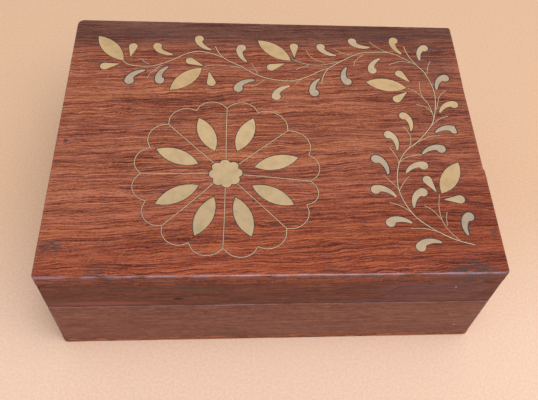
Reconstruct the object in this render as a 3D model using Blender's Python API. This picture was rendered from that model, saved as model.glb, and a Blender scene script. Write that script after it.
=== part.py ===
"""Wooden puzzle box: a rosewood box with a hinged lid and flush brass inlay.

The secret lock works in this order: the front panel slides to the left and uncovers a keyhole, a key is
drawn out of the left end of the front wall, and the key turns the bolt out of the lid.

The box stands on the plane z = 0, centred on the origin. +X is its length, -Y its front, +Z up.
All sizes are in metres. MM turns millimetres into metres.
"""
import math

import bmesh
import bpy
from mathutils import Matrix, Vector

MM = 0.001

# Outside of the box
LENGTH = 203 * MM
DEPTH = 152 * MM
HEIGHT = 70 * MM
SEAM_Z = 41.25 * MM              # middle of the joint between base and lid
CORNER_RADIUS = 2.5 * MM         # upright corners, seen from above
CORNER_STEPS = 5
GAP = 0.3 * MM                   # clearance between pieces that touch

# Boards
BOTTOM_THICKNESS = 4 * MM
TOP_THICKNESS = 7 * MM
SIDE_THICKNESS = 9 * MM
BACK_THICKNESS = 9 * MM
PANEL_THICKNESS = 5 * MM
FRONT_WALL_THICKNESS = 8 * MM
FELT_THICKNESS = 1.2 * MM
EDGE_ROUND = 1.0 * MM
EDGE_ROUND_STEPS = 2

# Planes worked out from the sizes above
X_END = LENGTH / 2
Y_FRONT = -DEPTH / 2
Y_BACK = DEPTH / 2
PANEL_BACK_Y = Y_FRONT + PANEL_THICKNESS
WALL_FRONT_Y = PANEL_BACK_Y + GAP
INNER_FRONT_Y = WALL_FRONT_Y + FRONT_WALL_THICKNESS
INNER_BACK_Y = Y_BACK - BACK_THICKNESS
INNER_X = X_END - SIDE_THICKNESS
WALL_LOW_Z = BOTTOM_THICKNESS + GAP
BASE_TOP_Z = SEAM_Z - GAP / 2
LID_LOW_Z = SEAM_Z + GAP / 2
RAIL_TOP_Z = HEIGHT - TOP_THICKNESS - GAP
CUT_MARGIN = 2 * MM              # how far a cutter runs past the face that it opens

# Hinges: their axis lies in the seam, just inside the back face
HINGE_Y = 73 * MM
HINGE_X = 62 * MM
HINGE_LENGTH = 25 * MM
LEAF_THICKNESS = 1 * MM
LEAF_INNER_Y = INNER_BACK_Y + GAP
BARREL_RADIUS = 1.6 * MM
BARREL_RELIEF = 1.9 * MM
WOOD_RELIEF = 2.0 * MM
PIN_RADIUS = 0.6 * MM
PIN_HOLE_RADIUS = 0.85 * MM
KNUCKLE_HALF = 4.2 * MM          # half length of the lid leaf's one knuckle
CHAMFER_START_Y = HINGE_Y - GAP / 2
CHAMFER_ANGLE = math.radians(50)  # on both boards, so that the lid stops just past upright
HINGE_SCREW_Y = 69.6 * MM
HINGE_SCREW_X = 8 * MM           # from the middle of the hinge
BARREL_SIDES = 20

# Countersunk screws
SCREW_HEAD_RADIUS = 1.2 * MM
SCREW_HEAD_DEPTH = 0.8 * MM
SCREW_SHANK_RADIUS = 0.6 * MM
SCREW_SLOT_WIDTH = 0.4 * MM
SCREW_SLOT_DEPTH = 0.35 * MM
SCREW_SIDES = 12
HINGE_SCREW_LENGTH = 7 * MM
LOCK_SCREW_LENGTH = 5 * MM

# Sliding front panel: a dovetail tongue on its back runs in a groove along the front wall
PANEL_TRAVEL = 60 * MM
TONGUE_Z = 10.5 * MM
TONGUE_NECK = 4.4 * MM
TONGUE_WIDTH = 7 * MM
TONGUE_DEPTH = 3 * MM
STOP_X = -70 * MM
STOP_RADIUS = 1 * MM
STOP_DEPTH = 3 * MM
STOP_REACH = 1.2 * MM            # how far the stop pin stands into the tongue

# Hidden key, in a pocket that opens at the left end of the front wall
KEY_Y = (WALL_FRONT_Y + INNER_FRONT_Y) / 2
KEY_Z = 26 * MM
KEY_PLUG_LENGTH = 10 * MM
KEY_PLUG_WIDTH = 5 * MM
KEY_PLUG_HEIGHT = 8 * MM
KEY_POCKET_DEPTH = 46 * MM
KEY_SHANK_RADIUS = 1.4 * MM
KEY_SHANK_IN_PLUG = 5 * MM
KEY_TIP_CLEARANCE = 2 * MM
KEY_BIT_LENGTH = 4 * MM
KEY_BIT_HEIGHT = 3.4 * MM
KEY_BIT_THICKNESS = 1.2 * MM

# Lock, let into the inner side of the front wall
LOCK_X = 72 * MM
LOCK_PLATE_WIDTH = 38 * MM
LOCK_CASE_WIDTH = 28 * MM
LOCK_LOW_Z = 19 * MM
LOCK_CASE_DEPTH = 5.4 * MM
BRASS_SHEET = 1 * MM
KEYHOLE_Z = 29 * MM
KEYHOLE_RADIUS = 1.8 * MM
KEYHOLE_SLOT_WIDTH = 1.6 * MM
KEYHOLE_SLOT_DEPTH = 4.5 * MM
LOCK_PIN_RADIUS = 0.7 * MM
LOCK_SCREW_X = 17 * MM           # from the middle of the lock
LOCK_SCREW_Z = 30 * MM
BOLT_TRAVEL = 5 * MM
BOLT_Y = INNER_FRONT_Y - 2.8 * MM
BOLT_THICKNESS = 1.6 * MM
BOLT_WIDTH = 16 * MM
BOLT_TONGUE_WIDTH = 11.4 * MM
BOLT_LOW_Z = 22 * MM
BOLT_SHOULDER_Z = 34.8 * MM
BOLT_SLOT_WIDTH = 4 * MM
BOLT_SLOT_TOP_Z = 31 * MM
SPRING_THICKNESS = 0.5 * MM
SPRING_LOW_Z = 23 * MM
SPRING_HIGH_Z = 37 * MM
SPRING_BOW = 2.6 * MM

# Strike plate in the lid, above the bolt
STRIKE_WIDTH = 28 * MM
STRIKE_DEPTH = 5.8 * MM
STRIKE_Y = INNER_FRONT_Y - 4.1 * MM
STRIKE_SCREW_X = 11 * MM
BOLT_POCKET_DEPTH = 7 * MM

# Brass inlay, flush with the top of the lid
INLAY_THICKNESS = 1.2 * MM
FLOWER_X = -22.4 * MM
FLOWER_Y = -23.4 * MM
LOBES = 8
LOBE_CENTRE = 5.3 * MM
LOBE_RADIUS = 2.5 * MM
LOBE_TURN = math.radians(4)
LOBE_STEPS = 5
PETAL_LENGTH = 21.5 * MM
PETAL_WIDTH = 8 * MM
PETAL_MIDDLE = 24.6 * MM         # from the middle of the flower
PETAL_ANGLES = (15, 68, 112, 157, 208, 248, 289, 331)
LEAF_WIDTH = 8.3 * MM
LEAF_TIPS = (                    # stem end and free end of each large leaf of the vine
    ((-75.2, 46.7), (-89.5, 64.0)),
    ((-50.7, 27.2), (-35.2, 42.5)),
    ((11.0, 48.5), (-6.1, 62.9)),
    ((70.4, 30.6), (49.5, 34.4)),
    ((77.8, -34.5), (89.1, -16.7)),
)
ARC_STEPS = 8

# Colours, roughness and metallic value of each kind of piece
ROSEWOOD_TOP = ((0.262, 0.072, 0.036), 0.42, 0.0)
ROSEWOOD_SIDE = ((0.162, 0.058, 0.038), 0.48, 0.0)
BRASS = ((0.610, 0.456, 0.220), 0.36, 1.0)
STEEL = ((0.420, 0.400, 0.370), 0.38, 1.0)
FELT = ((0.240, 0.020, 0.024), 0.95, 0.0)


# ---------------------------------------------------------------- building blocks

def clear_scene():
    """Remove every object of the open scene."""
    for old in list(bpy.data.objects):
        bpy.data.objects.remove(old, do_unlink=True)


def make_material(name, finish):
    """Principled material from a (colour, roughness, metallic) finish."""
    colour, roughness, metallic = finish
    material = bpy.data.materials.new(name)
    material.use_nodes = True
    shader = material.node_tree.nodes["Principled BSDF"]
    shader.inputs["Base Color"].default_value = (*colour, 1.0)
    shader.inputs["Roughness"].default_value = roughness
    shader.inputs["Metallic"].default_value = metallic
    material.diffuse_color = (*colour, 1.0)
    return material


def make_pivot(name, location):
    """Empty that carries one moving body, on its joint's axis."""
    pivot = bpy.data.objects.new(name, None)
    pivot.location = location
    bpy.context.scene.collection.objects.link(pivot)
    return pivot


def add_object(name, bm, location=(0, 0, 0)):
    """Turn a bmesh into an object whose faces all point out."""
    bmesh.ops.recalc_face_normals(bm, faces=bm.faces)
    mesh = bpy.data.meshes.new(name)
    bm.to_mesh(mesh)
    bm.free()
    piece = bpy.data.objects.new(name, mesh)
    piece.location = location
    bpy.context.scene.collection.objects.link(piece)
    return piece


def finish_piece(piece, finish, pivot, smooth=False):
    """Give a piece its material and hang it on its body's pivot, where it already is."""
    piece.data.materials.append(make_material(piece.name + "_material", finish))
    piece.parent = pivot
    piece.matrix_parent_inverse = Matrix.Translation(-pivot.location)
    if smooth:
        piece.data.shade_smooth()
        piece.data.set_sharp_from_angle(angle=math.radians(35))
    return piece


def hide_cutter(cutter):
    """Mark an object as a cutter, which isn't part of the box."""
    cutter.hide_render = True
    cutter.display_type = "WIRE"
    return cutter


def apply_boolean(piece, tool, operation):
    """Add an exact Boolean with a hidden tool object."""
    modifier = piece.modifiers.new(operation.lower() + "_" + tool.name, "BOOLEAN")
    modifier.operation = operation
    modifier.solver = "EXACT"
    modifier.object = hide_cutter(tool)


def cut(piece, *tools):
    """Cut each tool out of a piece."""
    for tool in tools:
        apply_boolean(piece, tool, "DIFFERENCE")


def join(piece, *tools):
    """Add each tool's volume to a piece."""
    for tool in tools:
        apply_boolean(piece, tool, "UNION")


def prism(outline, low, high, axis="Z"):
    """Bmesh of an outline drawn across an axis and extruded along it from low to high.

    The outline's points are (x, y) for axis Z, (y, z) for axis X and (x, z) for axis Y.
    """
    place = {
        "Z": lambda a, b, c: (a, b, c),
        "X": lambda a, b, c: (c, a, b),
        "Y": lambda a, b, c: (a, c, b),
    }[axis]
    bm = bmesh.new()
    start = [bm.verts.new(place(a, b, low)) for a, b in outline]
    end = [bm.verts.new(place(a, b, high)) for a, b in outline]
    bm.faces.new(start)
    bm.faces.new(end)
    count = len(outline)
    for i in range(count):
        j = (i + 1) % count
        bm.faces.new((start[i], start[j], end[j], end[i]))
    return bm


def block(name, x_range, y_range, z_range):
    """Rectangular block between three pairs of planes, with its origin in its middle."""
    centre = Vector([sum(pair) / 2 for pair in (x_range, y_range, z_range)])
    half = [(pair[1] - pair[0]) / 2 for pair in (x_range, y_range, z_range)]
    outline = [(-half[0], -half[1]), (half[0], -half[1]), (half[0], half[1]), (-half[0], half[1])]
    return add_object(name, prism(outline, -half[2], half[2]), centre)


def circle(radius, sides, centre=(0, 0)):
    """Points of a circle, counter-clockwise."""
    step = 2 * math.pi / sides
    return [(centre[0] + radius * math.cos(i * step), centre[1] + radius * math.sin(i * step))
            for i in range(sides)]


def rod(name, radius, low, high, location, axis, sides=BARREL_SIDES):
    """Straight round rod along an axis, from low to high past its location."""
    return add_object(name, prism(circle(radius, sides), low, high, axis), location)


def rounded_plate_outline(x_range, y_range, round_front=True, round_back=True):
    """Plan of a board whose outer upright corners are rounded, counter-clockwise."""
    corners = (
        (x_range[0], y_range[0], round_front, 180),
        (x_range[1], y_range[0], round_front, 270),
        (x_range[1], y_range[1], round_back, 0),
        (x_range[0], y_range[1], round_back, 90),
    )
    middle = (sum(x_range) / 2, sum(y_range) / 2)
    outline = []
    for x, y, rounded, first_angle in corners:
        if not rounded:
            outline.append((x, y))
            continue
        centre_x = x + math.copysign(CORNER_RADIUS, middle[0] - x)
        centre_y = y + math.copysign(CORNER_RADIUS, middle[1] - y)
        for i in range(CORNER_STEPS + 1):
            angle = math.radians(first_angle + 90 * i / CORNER_STEPS)
            outline.append((centre_x + CORNER_RADIUS * math.cos(angle),
                            centre_y + CORNER_RADIUS * math.sin(angle)))
    return outline


def board(name, x_range, y_range, z_range, round_front, round_back):
    """Board with rounded outer corners."""
    outline = rounded_plate_outline(x_range, y_range, round_front, round_back)
    return add_object(name, prism(outline, *z_range))


def round_edges(piece, is_edge):
    """Round the edges of a piece for which is_edge(vertex, vertex) is true."""
    bm = bmesh.new()
    bm.from_mesh(piece.data)
    edges = [edge for edge in bm.edges if is_edge(edge.verts[0].co, edge.verts[1].co)]
    bmesh.ops.bevel(bm, geom=edges, offset=EDGE_ROUND, segments=EDGE_ROUND_STEPS, profile=0.5,
                    affect="EDGES", clamp_overlap=True)
    bm.to_mesh(piece.data)
    bm.free()


def turned(profile, sides):
    """Bmesh turned about Z from (radius, z) points whose first and last radius is 0."""
    bm = bmesh.new()
    rings = []
    for radius, z in profile:
        if radius == 0:
            rings.append([bm.verts.new((0, 0, z))])
            continue
        rings.append([bm.verts.new((x, y, z)) for x, y in circle(radius, sides)])
    for lower, upper in zip(rings, rings[1:]):
        for i in range(sides):
            j = (i + 1) % sides
            around = (lower[i % len(lower)], lower[j % len(lower)],
                      upper[j % len(upper)], upper[i % len(upper)])
            bm.faces.new(tuple(dict.fromkeys(around)))
    return bm


# ---------------------------------------------------------------- screws

def screw_shape(name, location, direction, length, gap=0.0):
    """Countersunk screw whose head faces against direction; a gap makes its clearance hole."""
    head = SCREW_HEAD_RADIUS + gap
    shank = SCREW_SHANK_RADIUS + gap
    top = CUT_MARGIN if gap else 0.0
    profile = [(0, top), (head, top)]
    if gap:
        profile.append((head, 0))
    profile += [(shank, -SCREW_HEAD_DEPTH), (shank, -length + shank - gap), (0, -length - gap)]
    piece = add_object(name, turned(profile, SCREW_SIDES), location)
    piece.rotation_mode = "QUATERNION"
    piece.rotation_quaternion = Vector(direction).to_track_quat("-Z", "Y")
    return piece


def add_screw(name, location, direction, length, pivot, hosts):
    """Screw with a slot in its head, and its clearance hole in each host."""
    screw = screw_shape(name, location, direction, length)
    slot = block("cut_slot_" + name, (-CUT_MARGIN, CUT_MARGIN),
                 (-SCREW_SLOT_WIDTH / 2, SCREW_SLOT_WIDTH / 2), (-SCREW_SLOT_DEPTH, SCREW_SLOT_DEPTH))
    slot.location = location
    slot.rotation_mode = "QUATERNION"
    slot.rotation_quaternion = screw.rotation_quaternion
    cut(screw, slot)
    hole = screw_shape("cut_hole_" + name, location, direction, length, gap=GAP)
    for host in hosts:
        cut(host, hole)
    return finish_piece(screw, BRASS, pivot, smooth=True)


# ---------------------------------------------------------------- base

def add_bottom_board(pivot):
    piece = board("bottom_board", (-X_END, X_END), (Y_FRONT, Y_BACK), (0, BOTTOM_THICKNESS), True, True)
    round_edges(piece, lambda a, b: a.z == b.z == 0)
    return finish_piece(piece, ROSEWOOD_SIDE, pivot)


def add_base_front_wall(pivot):
    """Inner front wall, with the groove for the panel, the lock's recess and the key's pocket."""
    wall = block("base_front_wall", (-X_END, X_END), (WALL_FRONT_Y, INNER_FRONT_Y),
                 (WALL_LOW_Z, BASE_TOP_Z))
    past_end = X_END + CUT_MARGIN
    groove = add_object("cut_panel_groove", prism(tongue_outline(GAP), -past_end, past_end, "X"))
    pocket = block("cut_key_pocket", (-past_end, -X_END + KEY_POCKET_DEPTH),
                   (KEY_Y - KEY_PLUG_WIDTH / 2 - GAP, KEY_Y + KEY_PLUG_WIDTH / 2 + GAP),
                   (KEY_Z - KEY_PLUG_HEIGHT / 2 - GAP, KEY_Z + KEY_PLUG_HEIGHT / 2 + GAP))
    stop_hole = rod("cut_stop_hole", STOP_RADIUS + GAP, -CUT_MARGIN, STOP_DEPTH + GAP,
                    (STOP_X, tongue_face_y() + GAP, TONGUE_Z), "Y", SCREW_SIDES)
    case_half = LOCK_CASE_WIDTH / 2 + GAP
    case_recess = block("cut_lock_recess", (LOCK_X - case_half, LOCK_X + case_half),
                        (INNER_FRONT_Y - LOCK_CASE_DEPTH - GAP, INNER_FRONT_Y + CUT_MARGIN),
                        (LOCK_LOW_Z - GAP, BASE_TOP_Z + CUT_MARGIN))
    plate_half = LOCK_PLATE_WIDTH / 2 + GAP
    plate_recess = block("cut_lock_plate_recess", (LOCK_X - plate_half, LOCK_X + plate_half),
                         (INNER_FRONT_Y - BRASS_SHEET - GAP, INNER_FRONT_Y + CUT_MARGIN),
                         (LOCK_LOW_Z - GAP, BASE_TOP_Z + CUT_MARGIN))
    keyhole_y = (WALL_FRONT_Y - CUT_MARGIN, INNER_FRONT_Y - CUT_MARGIN)
    keyhole = rod("cut_keyhole", KEYHOLE_RADIUS, keyhole_y[0], keyhole_y[1], (LOCK_X, 0, KEYHOLE_Z), "Y")
    keyhole_slot = block("cut_keyhole_slot",
                         (LOCK_X - KEYHOLE_SLOT_WIDTH / 2, LOCK_X + KEYHOLE_SLOT_WIDTH / 2), keyhole_y,
                         (KEYHOLE_Z - KEYHOLE_SLOT_DEPTH, KEYHOLE_Z))
    cut(wall, groove, pocket, stop_hole, case_recess, plate_recess, keyhole, keyhole_slot)
    return finish_piece(wall, ROSEWOOD_SIDE, pivot)


def chamfer_cutter(name, side):
    """Wedge that cuts the outer back edge at the seam; side is -1 for the base and 1 for the lid."""
    edge_z = SEAM_Z + side * GAP / 2
    run = Y_BACK + CUT_MARGIN - CHAMFER_START_Y
    end_y = Y_BACK + CUT_MARGIN
    outline = [
        (CHAMFER_START_Y, edge_z),
        (end_y, edge_z + side * run * math.tan(CHAMFER_ANGLE)),
        (end_y, edge_z - side * CUT_MARGIN),
        (CHAMFER_START_Y, edge_z - side * CUT_MARGIN),
    ]
    past_end = X_END + CUT_MARGIN
    return add_object(name, prism(outline, -past_end, past_end, "X"))


def cut_hinge_seats(board_piece, side):
    """Cut the leaf's recess and the barrel's hollow for both hinges out of a board."""
    face_z = SEAM_Z + side * GAP / 2
    depth_z = face_z + side * (LEAF_THICKNESS + GAP)
    for hinge_x in (-HINGE_X, HINGE_X):
        half = HINGE_LENGTH / 2 + GAP
        label = board_piece.name + ("_left" if hinge_x < 0 else "_right")
        seat = block("cut_leaf_seat_" + label, (hinge_x - half, hinge_x + half),
                     (INNER_BACK_Y - CUT_MARGIN, HINGE_Y),
                     sorted((depth_z, face_z - side * CUT_MARGIN)))
        hollow = rod("cut_barrel_hollow_" + label, WOOD_RELIEF, -half, half,
                     (hinge_x, HINGE_Y, SEAM_Z), "X")
        cut(board_piece, seat, hollow)


def add_base_back_wall(pivot):
    wall = board("base_back_wall", (-X_END, X_END), (INNER_BACK_Y, Y_BACK), (WALL_LOW_Z, BASE_TOP_Z),
                 False, True)
    cut(wall, chamfer_cutter("cut_base_chamfer", -1))
    cut_hinge_seats(wall, -1)
    return finish_piece(wall, ROSEWOOD_SIDE, pivot)


def add_side_board(name, side, z_range, pivot):
    """Left or right board between the front and the back of the base or the lid."""
    x_range = sorted((side * INNER_X, side * X_END))
    piece = block(name, x_range, (INNER_FRONT_Y + GAP, INNER_BACK_Y - GAP), z_range)
    return finish_piece(piece, ROSEWOOD_SIDE, pivot)


def add_felt(name, low_z, pivot):
    """Felt lining cut to the inside of the box."""
    piece = block(name, (-INNER_X + GAP, INNER_X - GAP), (INNER_FRONT_Y + GAP, INNER_BACK_Y - GAP),
                  (low_z, low_z + FELT_THICKNESS))
    return finish_piece(piece, FELT, pivot)


# ---------------------------------------------------------------- sliding front panel

def tongue_face_y():
    """Plane of the tongue's back face."""
    return PANEL_BACK_Y + TONGUE_DEPTH


def tongue_outline(gap):
    """Section (y, z) of the dovetail tongue, or of its groove when a gap is given."""
    slope = (TONGUE_WIDTH - TONGUE_NECK) / 2 / TONGUE_DEPTH
    side_gap = gap * math.hypot(1, slope)
    front_y = PANEL_BACK_Y - CUT_MARGIN
    back_y = tongue_face_y() + gap
    front_half = TONGUE_NECK / 2 - slope * CUT_MARGIN + side_gap
    back_half = TONGUE_WIDTH / 2 + slope * gap + side_gap
    return [
        (front_y, TONGUE_Z - front_half),
        (back_y, TONGUE_Z - back_half),
        (back_y, TONGUE_Z + back_half),
        (front_y, TONGUE_Z + front_half),
    ]


def add_front_panel(pivot):
    """False front that slides to the left."""
    panel = board("front_panel", (-X_END, X_END), (Y_FRONT, PANEL_BACK_Y), (WALL_LOW_Z, BASE_TOP_Z),
                  True, False)
    tongue = add_object("tool_tongue", prism(tongue_outline(0.0), -X_END, X_END, "X"))
    join(panel, tongue)
    reach = STOP_RADIUS + GAP
    stop_slot = block("cut_stop_slot", (STOP_X - reach, STOP_X + PANEL_TRAVEL + reach),
                      (tongue_face_y() - STOP_REACH, tongue_face_y() + CUT_MARGIN),
                      (TONGUE_Z - reach, TONGUE_Z + reach))
    cut(panel, stop_slot)
    return finish_piece(panel, ROSEWOOD_SIDE, pivot)


def add_panel_stop_pin(pivot):
    """Pin in the groove that ends the panel's travel."""
    pin = rod("panel_stop_pin", STOP_RADIUS, -STOP_REACH + GAP, STOP_DEPTH,
              (STOP_X, tongue_face_y() + GAP, TONGUE_Z), "Y", SCREW_SIDES)
    return finish_piece(pin, BRASS, pivot, smooth=True)


# ---------------------------------------------------------------- hidden key

def add_key(pivot):
    """Steel key whose bow is a wooden plug, flush with the end of the front wall."""
    plug_x = (-X_END, -X_END + KEY_PLUG_LENGTH)
    plug = block("key_plug", plug_x, (KEY_Y - KEY_PLUG_WIDTH / 2, KEY_Y + KEY_PLUG_WIDTH / 2),
                 (KEY_Z - KEY_PLUG_HEIGHT / 2, KEY_Z + KEY_PLUG_HEIGHT / 2))
    shank_start = plug_x[1] - KEY_SHANK_IN_PLUG
    shank_end = -X_END + KEY_POCKET_DEPTH - KEY_TIP_CLEARANCE
    cut(plug, rod("cut_key_socket", KEY_SHANK_RADIUS + GAP, shank_start - GAP, plug_x[1] + CUT_MARGIN,
                  (0, KEY_Y, KEY_Z), "X"))
    finish_piece(plug, ROSEWOOD_SIDE, pivot)

    shank = rod("key_shank", KEY_SHANK_RADIUS, shank_start, shank_end, (0, KEY_Y, KEY_Z), "X")
    bit_end = shank_end - KEY_BIT_THICKNESS
    bit_start = bit_end - KEY_BIT_THICKNESS - KEY_BIT_LENGTH
    bit = block("tool_key_bit", (bit_start, bit_end),
                (KEY_Y - KEY_BIT_THICKNESS / 2, KEY_Y + KEY_BIT_THICKNESS / 2),
                (KEY_Z - KEY_BIT_HEIGHT, KEY_Z))
    join(shank, bit)
    finish_piece(shank, STEEL, pivot, smooth=True)


# ---------------------------------------------------------------- lock

def add_lock_case(pivot):
    """Face plate and open-fronted case of the lock, in one brass piece."""
    half = LOCK_CASE_WIDTH / 2
    case_front_y = INNER_FRONT_Y - LOCK_CASE_DEPTH
    case = block("lock_case", (LOCK_X - half, LOCK_X + half), (case_front_y, INNER_FRONT_Y),
                 (LOCK_LOW_Z, BASE_TOP_Z))
    plate = block("tool_lock_plate", (LOCK_X - LOCK_PLATE_WIDTH / 2, LOCK_X + LOCK_PLATE_WIDTH / 2),
                  (INNER_FRONT_Y - BRASS_SHEET, INNER_FRONT_Y), (LOCK_LOW_Z, BASE_TOP_Z))
    hollow = block("cut_lock_hollow", (LOCK_X - half + BRASS_SHEET, LOCK_X + half - BRASS_SHEET),
                   (case_front_y - CUT_MARGIN, INNER_FRONT_Y - BRASS_SHEET),
                   (LOCK_LOW_Z + BRASS_SHEET, BASE_TOP_Z - BRASS_SHEET))
    join(case, plate)
    cut(case, hollow, bolt_slot_cutter("cut_case_slot", BASE_TOP_Z - CUT_MARGIN, BASE_TOP_Z + CUT_MARGIN))
    return finish_piece(case, BRASS, pivot)


def bolt_slot_cutter(name, low_z, high_z, gap=GAP):
    """Upright slot that the bolt's tongue passes through."""
    half_x = BOLT_TONGUE_WIDTH / 2 + gap
    half_y = BOLT_THICKNESS / 2 + gap
    return block(name, (LOCK_X - half_x, LOCK_X + half_x), (BOLT_Y - half_y, BOLT_Y + half_y),
                 (low_z, high_z))


def add_lock_bolt(pivot):
    """Flat bolt that rises into the lid; its slot straddles the pin that the key turns on."""
    half = BOLT_WIDTH / 2
    tongue = BOLT_TONGUE_WIDTH / 2
    slot = BOLT_SLOT_WIDTH / 2
    tip_z = BASE_TOP_Z - GAP / 3
    outline = [
        (LOCK_X - half, BOLT_LOW_Z),
        (LOCK_X - slot, BOLT_LOW_Z),
        (LOCK_X - slot, BOLT_SLOT_TOP_Z),
        (LOCK_X + slot, BOLT_SLOT_TOP_Z),
        (LOCK_X + slot, BOLT_LOW_Z),
        (LOCK_X + half, BOLT_LOW_Z),
        (LOCK_X + half, BOLT_SHOULDER_Z),
        (LOCK_X + tongue, BOLT_SHOULDER_Z),
        (LOCK_X + tongue, tip_z),
        (LOCK_X - tongue, tip_z),
        (LOCK_X - tongue, BOLT_SHOULDER_Z),
        (LOCK_X - half, BOLT_SHOULDER_Z),
    ]
    bolt = add_object("lock_bolt", prism(outline, BOLT_Y - BOLT_THICKNESS / 2,
                                         BOLT_Y + BOLT_THICKNESS / 2, "Y"))
    return finish_piece(bolt, BRASS, pivot)


def add_lock_pin(pivot):
    """Pin inside the lock that the hollow key turns on."""
    pin = rod("lock_pin", LOCK_PIN_RADIUS, INNER_FRONT_Y - LOCK_CASE_DEPTH + GAP,
              INNER_FRONT_Y - BRASS_SHEET - GAP, (LOCK_X, 0, KEYHOLE_Z), "Y", SCREW_SIDES)
    return finish_piece(pin, STEEL, pivot, smooth=True)


def add_bolt_spring(pivot):
    """Bowed strip that presses on the side of the bolt and keeps it where the key leaves it."""
    peak_x = LOCK_X - BOLT_WIDTH / 2 - GAP
    middle_z = (SPRING_LOW_Z + SPRING_HIGH_Z) / 2
    half = (SPRING_HIGH_Z - SPRING_LOW_Z) / 2

    def bow(inset):
        points = []
        for i in range(ARC_STEPS + 1):
            t = 2 * i / ARC_STEPS - 1
            points.append((peak_x - inset - SPRING_BOW * t * t, middle_z + half * t))
        return points

    outline = bow(0.0) + bow(SPRING_THICKNESS)[::-1]
    spring = add_object("bolt_spring", prism(outline, BOLT_Y - BOLT_THICKNESS / 2,
                                             BOLT_Y + BOLT_THICKNESS / 2, "Y"))
    return finish_piece(spring, STEEL, pivot)


def add_lock_screws(wall, case, pivot):
    for number, side in ((1, -1), (2, 1)):
        location = (LOCK_X + side * LOCK_SCREW_X, INNER_FRONT_Y, LOCK_SCREW_Z)
        add_screw(f"lock_screw_{number}", location, (0, -1, 0), LOCK_SCREW_LENGTH, pivot, (wall, case))


def add_strike_plate(pivot):
    """Plate in the lid's front rail that receives the bolt."""
    half = STRIKE_WIDTH / 2
    plate = block("strike_plate", (LOCK_X - half, LOCK_X + half),
                  (STRIKE_Y - STRIKE_DEPTH / 2, STRIKE_Y + STRIKE_DEPTH / 2),
                  (LID_LOW_Z, LID_LOW_Z + BRASS_SHEET))
    cut(plate, bolt_slot_cutter("cut_strike_slot", LID_LOW_Z - CUT_MARGIN, LID_LOW_Z + CUT_MARGIN))
    return finish_piece(plate, BRASS, pivot)


def add_strike_screws(rail, plate, pivot):
    for number, side in ((1, -1), (2, 1)):
        location = (LOCK_X + side * STRIKE_SCREW_X, STRIKE_Y, LID_LOW_Z)
        add_screw(f"strike_screw_{number}", location, (0, 0, 1), LOCK_SCREW_LENGTH, pivot, (rail, plate))


# ---------------------------------------------------------------- hinges

def add_hinge_leaf(name, hinge_x, side, pivot):
    """Leaf with its knuckles: the base leaf (side -1) has two outer ones, the lid leaf one between."""
    face_z = SEAM_Z + side * GAP / 2
    half = HINGE_LENGTH / 2
    leaf = block(name, (hinge_x - half, hinge_x + half), (LEAF_INNER_Y, HINGE_Y),
                 sorted((face_z, face_z + side * LEAF_THICKNESS)))
    axis = (hinge_x, HINGE_Y, SEAM_Z)
    inner = KNUCKLE_HALF
    outer = KNUCKLE_HALF + GAP
    if side < 0:
        knuckles = ((-half, -outer), (outer, half))
        reliefs = ((-outer, outer),)
    else:
        knuckles = ((-inner, inner),)
        reliefs = ((-half - CUT_MARGIN, -inner), (inner, half + CUT_MARGIN))
    for number, (low, high) in enumerate(reliefs):
        cut(leaf, rod(f"cut_relief_{number}_{name}", BARREL_RELIEF, low, high, axis, "X"))
    for number, (low, high) in enumerate(knuckles):
        join(leaf, rod(f"tool_knuckle_{number}_{name}", BARREL_RADIUS, low, high, axis, "X"))
    past_end = half + CUT_MARGIN
    cut(leaf, rod("cut_pin_hole_" + name, PIN_HOLE_RADIUS, -past_end, past_end, axis, "X", SCREW_SIDES))
    return finish_piece(leaf, BRASS, pivot)


def add_hinges(back_wall, back_rail, base, lid):
    """Two butt hinges, each with two leaves, a pin and four screws."""
    screw_number = 1
    for label, hinge_x in (("left", -HINGE_X), ("right", HINGE_X)):
        base_leaf = add_hinge_leaf(f"hinge_{label}_base_leaf", hinge_x, -1, base)
        lid_leaf = add_hinge_leaf(f"hinge_{label}_lid_leaf", hinge_x, 1, lid)
        pin = rod(f"hinge_{label}_pin", PIN_RADIUS, -HINGE_LENGTH / 2, HINGE_LENGTH / 2,
                  (hinge_x, HINGE_Y, SEAM_Z), "X", SCREW_SIDES)
        finish_piece(pin, BRASS, base, smooth=True)
        for leaf, host, side, body in ((base_leaf, back_wall, -1, base), (lid_leaf, back_rail, 1, lid)):
            for offset in (-HINGE_SCREW_X, HINGE_SCREW_X):
                location = (hinge_x + offset, HINGE_SCREW_Y, SEAM_Z + side * GAP / 2)
                add_screw(f"hinge_screw_{screw_number}", location, (0, 0, side), HINGE_SCREW_LENGTH,
                          body, (leaf, host))
                screw_number += 1


# ---------------------------------------------------------------- lid

def add_lid_top_board(pivot):
    piece = board("lid_top_board", (-X_END, X_END), (Y_FRONT, Y_BACK),
                  (HEIGHT - TOP_THICKNESS, HEIGHT), True, True)
    round_edges(piece, lambda a, b: min(a.z, b.z) > HEIGHT - GAP)
    return finish_piece(piece, ROSEWOOD_TOP, pivot)


def add_lid_front_rail(pivot):
    """Front of the lid, with the strike plate's recess and the bolt's pocket."""
    rail = board("lid_front_rail", (-X_END, X_END), (Y_FRONT, INNER_FRONT_Y), (LID_LOW_Z, RAIL_TOP_Z),
                 True, False)
    half_x = STRIKE_WIDTH / 2 + GAP
    half_y = STRIKE_DEPTH / 2 + GAP
    recess = block("cut_strike_recess", (LOCK_X - half_x, LOCK_X + half_x),
                   (STRIKE_Y - half_y, STRIKE_Y + half_y),
                   (LID_LOW_Z - CUT_MARGIN, LID_LOW_Z + BRASS_SHEET + GAP))
    pocket = bolt_slot_cutter("cut_bolt_pocket", LID_LOW_Z, LID_LOW_Z + BOLT_POCKET_DEPTH, 2 * GAP)
    cut(rail, recess, pocket)
    return finish_piece(rail, ROSEWOOD_SIDE, pivot)


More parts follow.
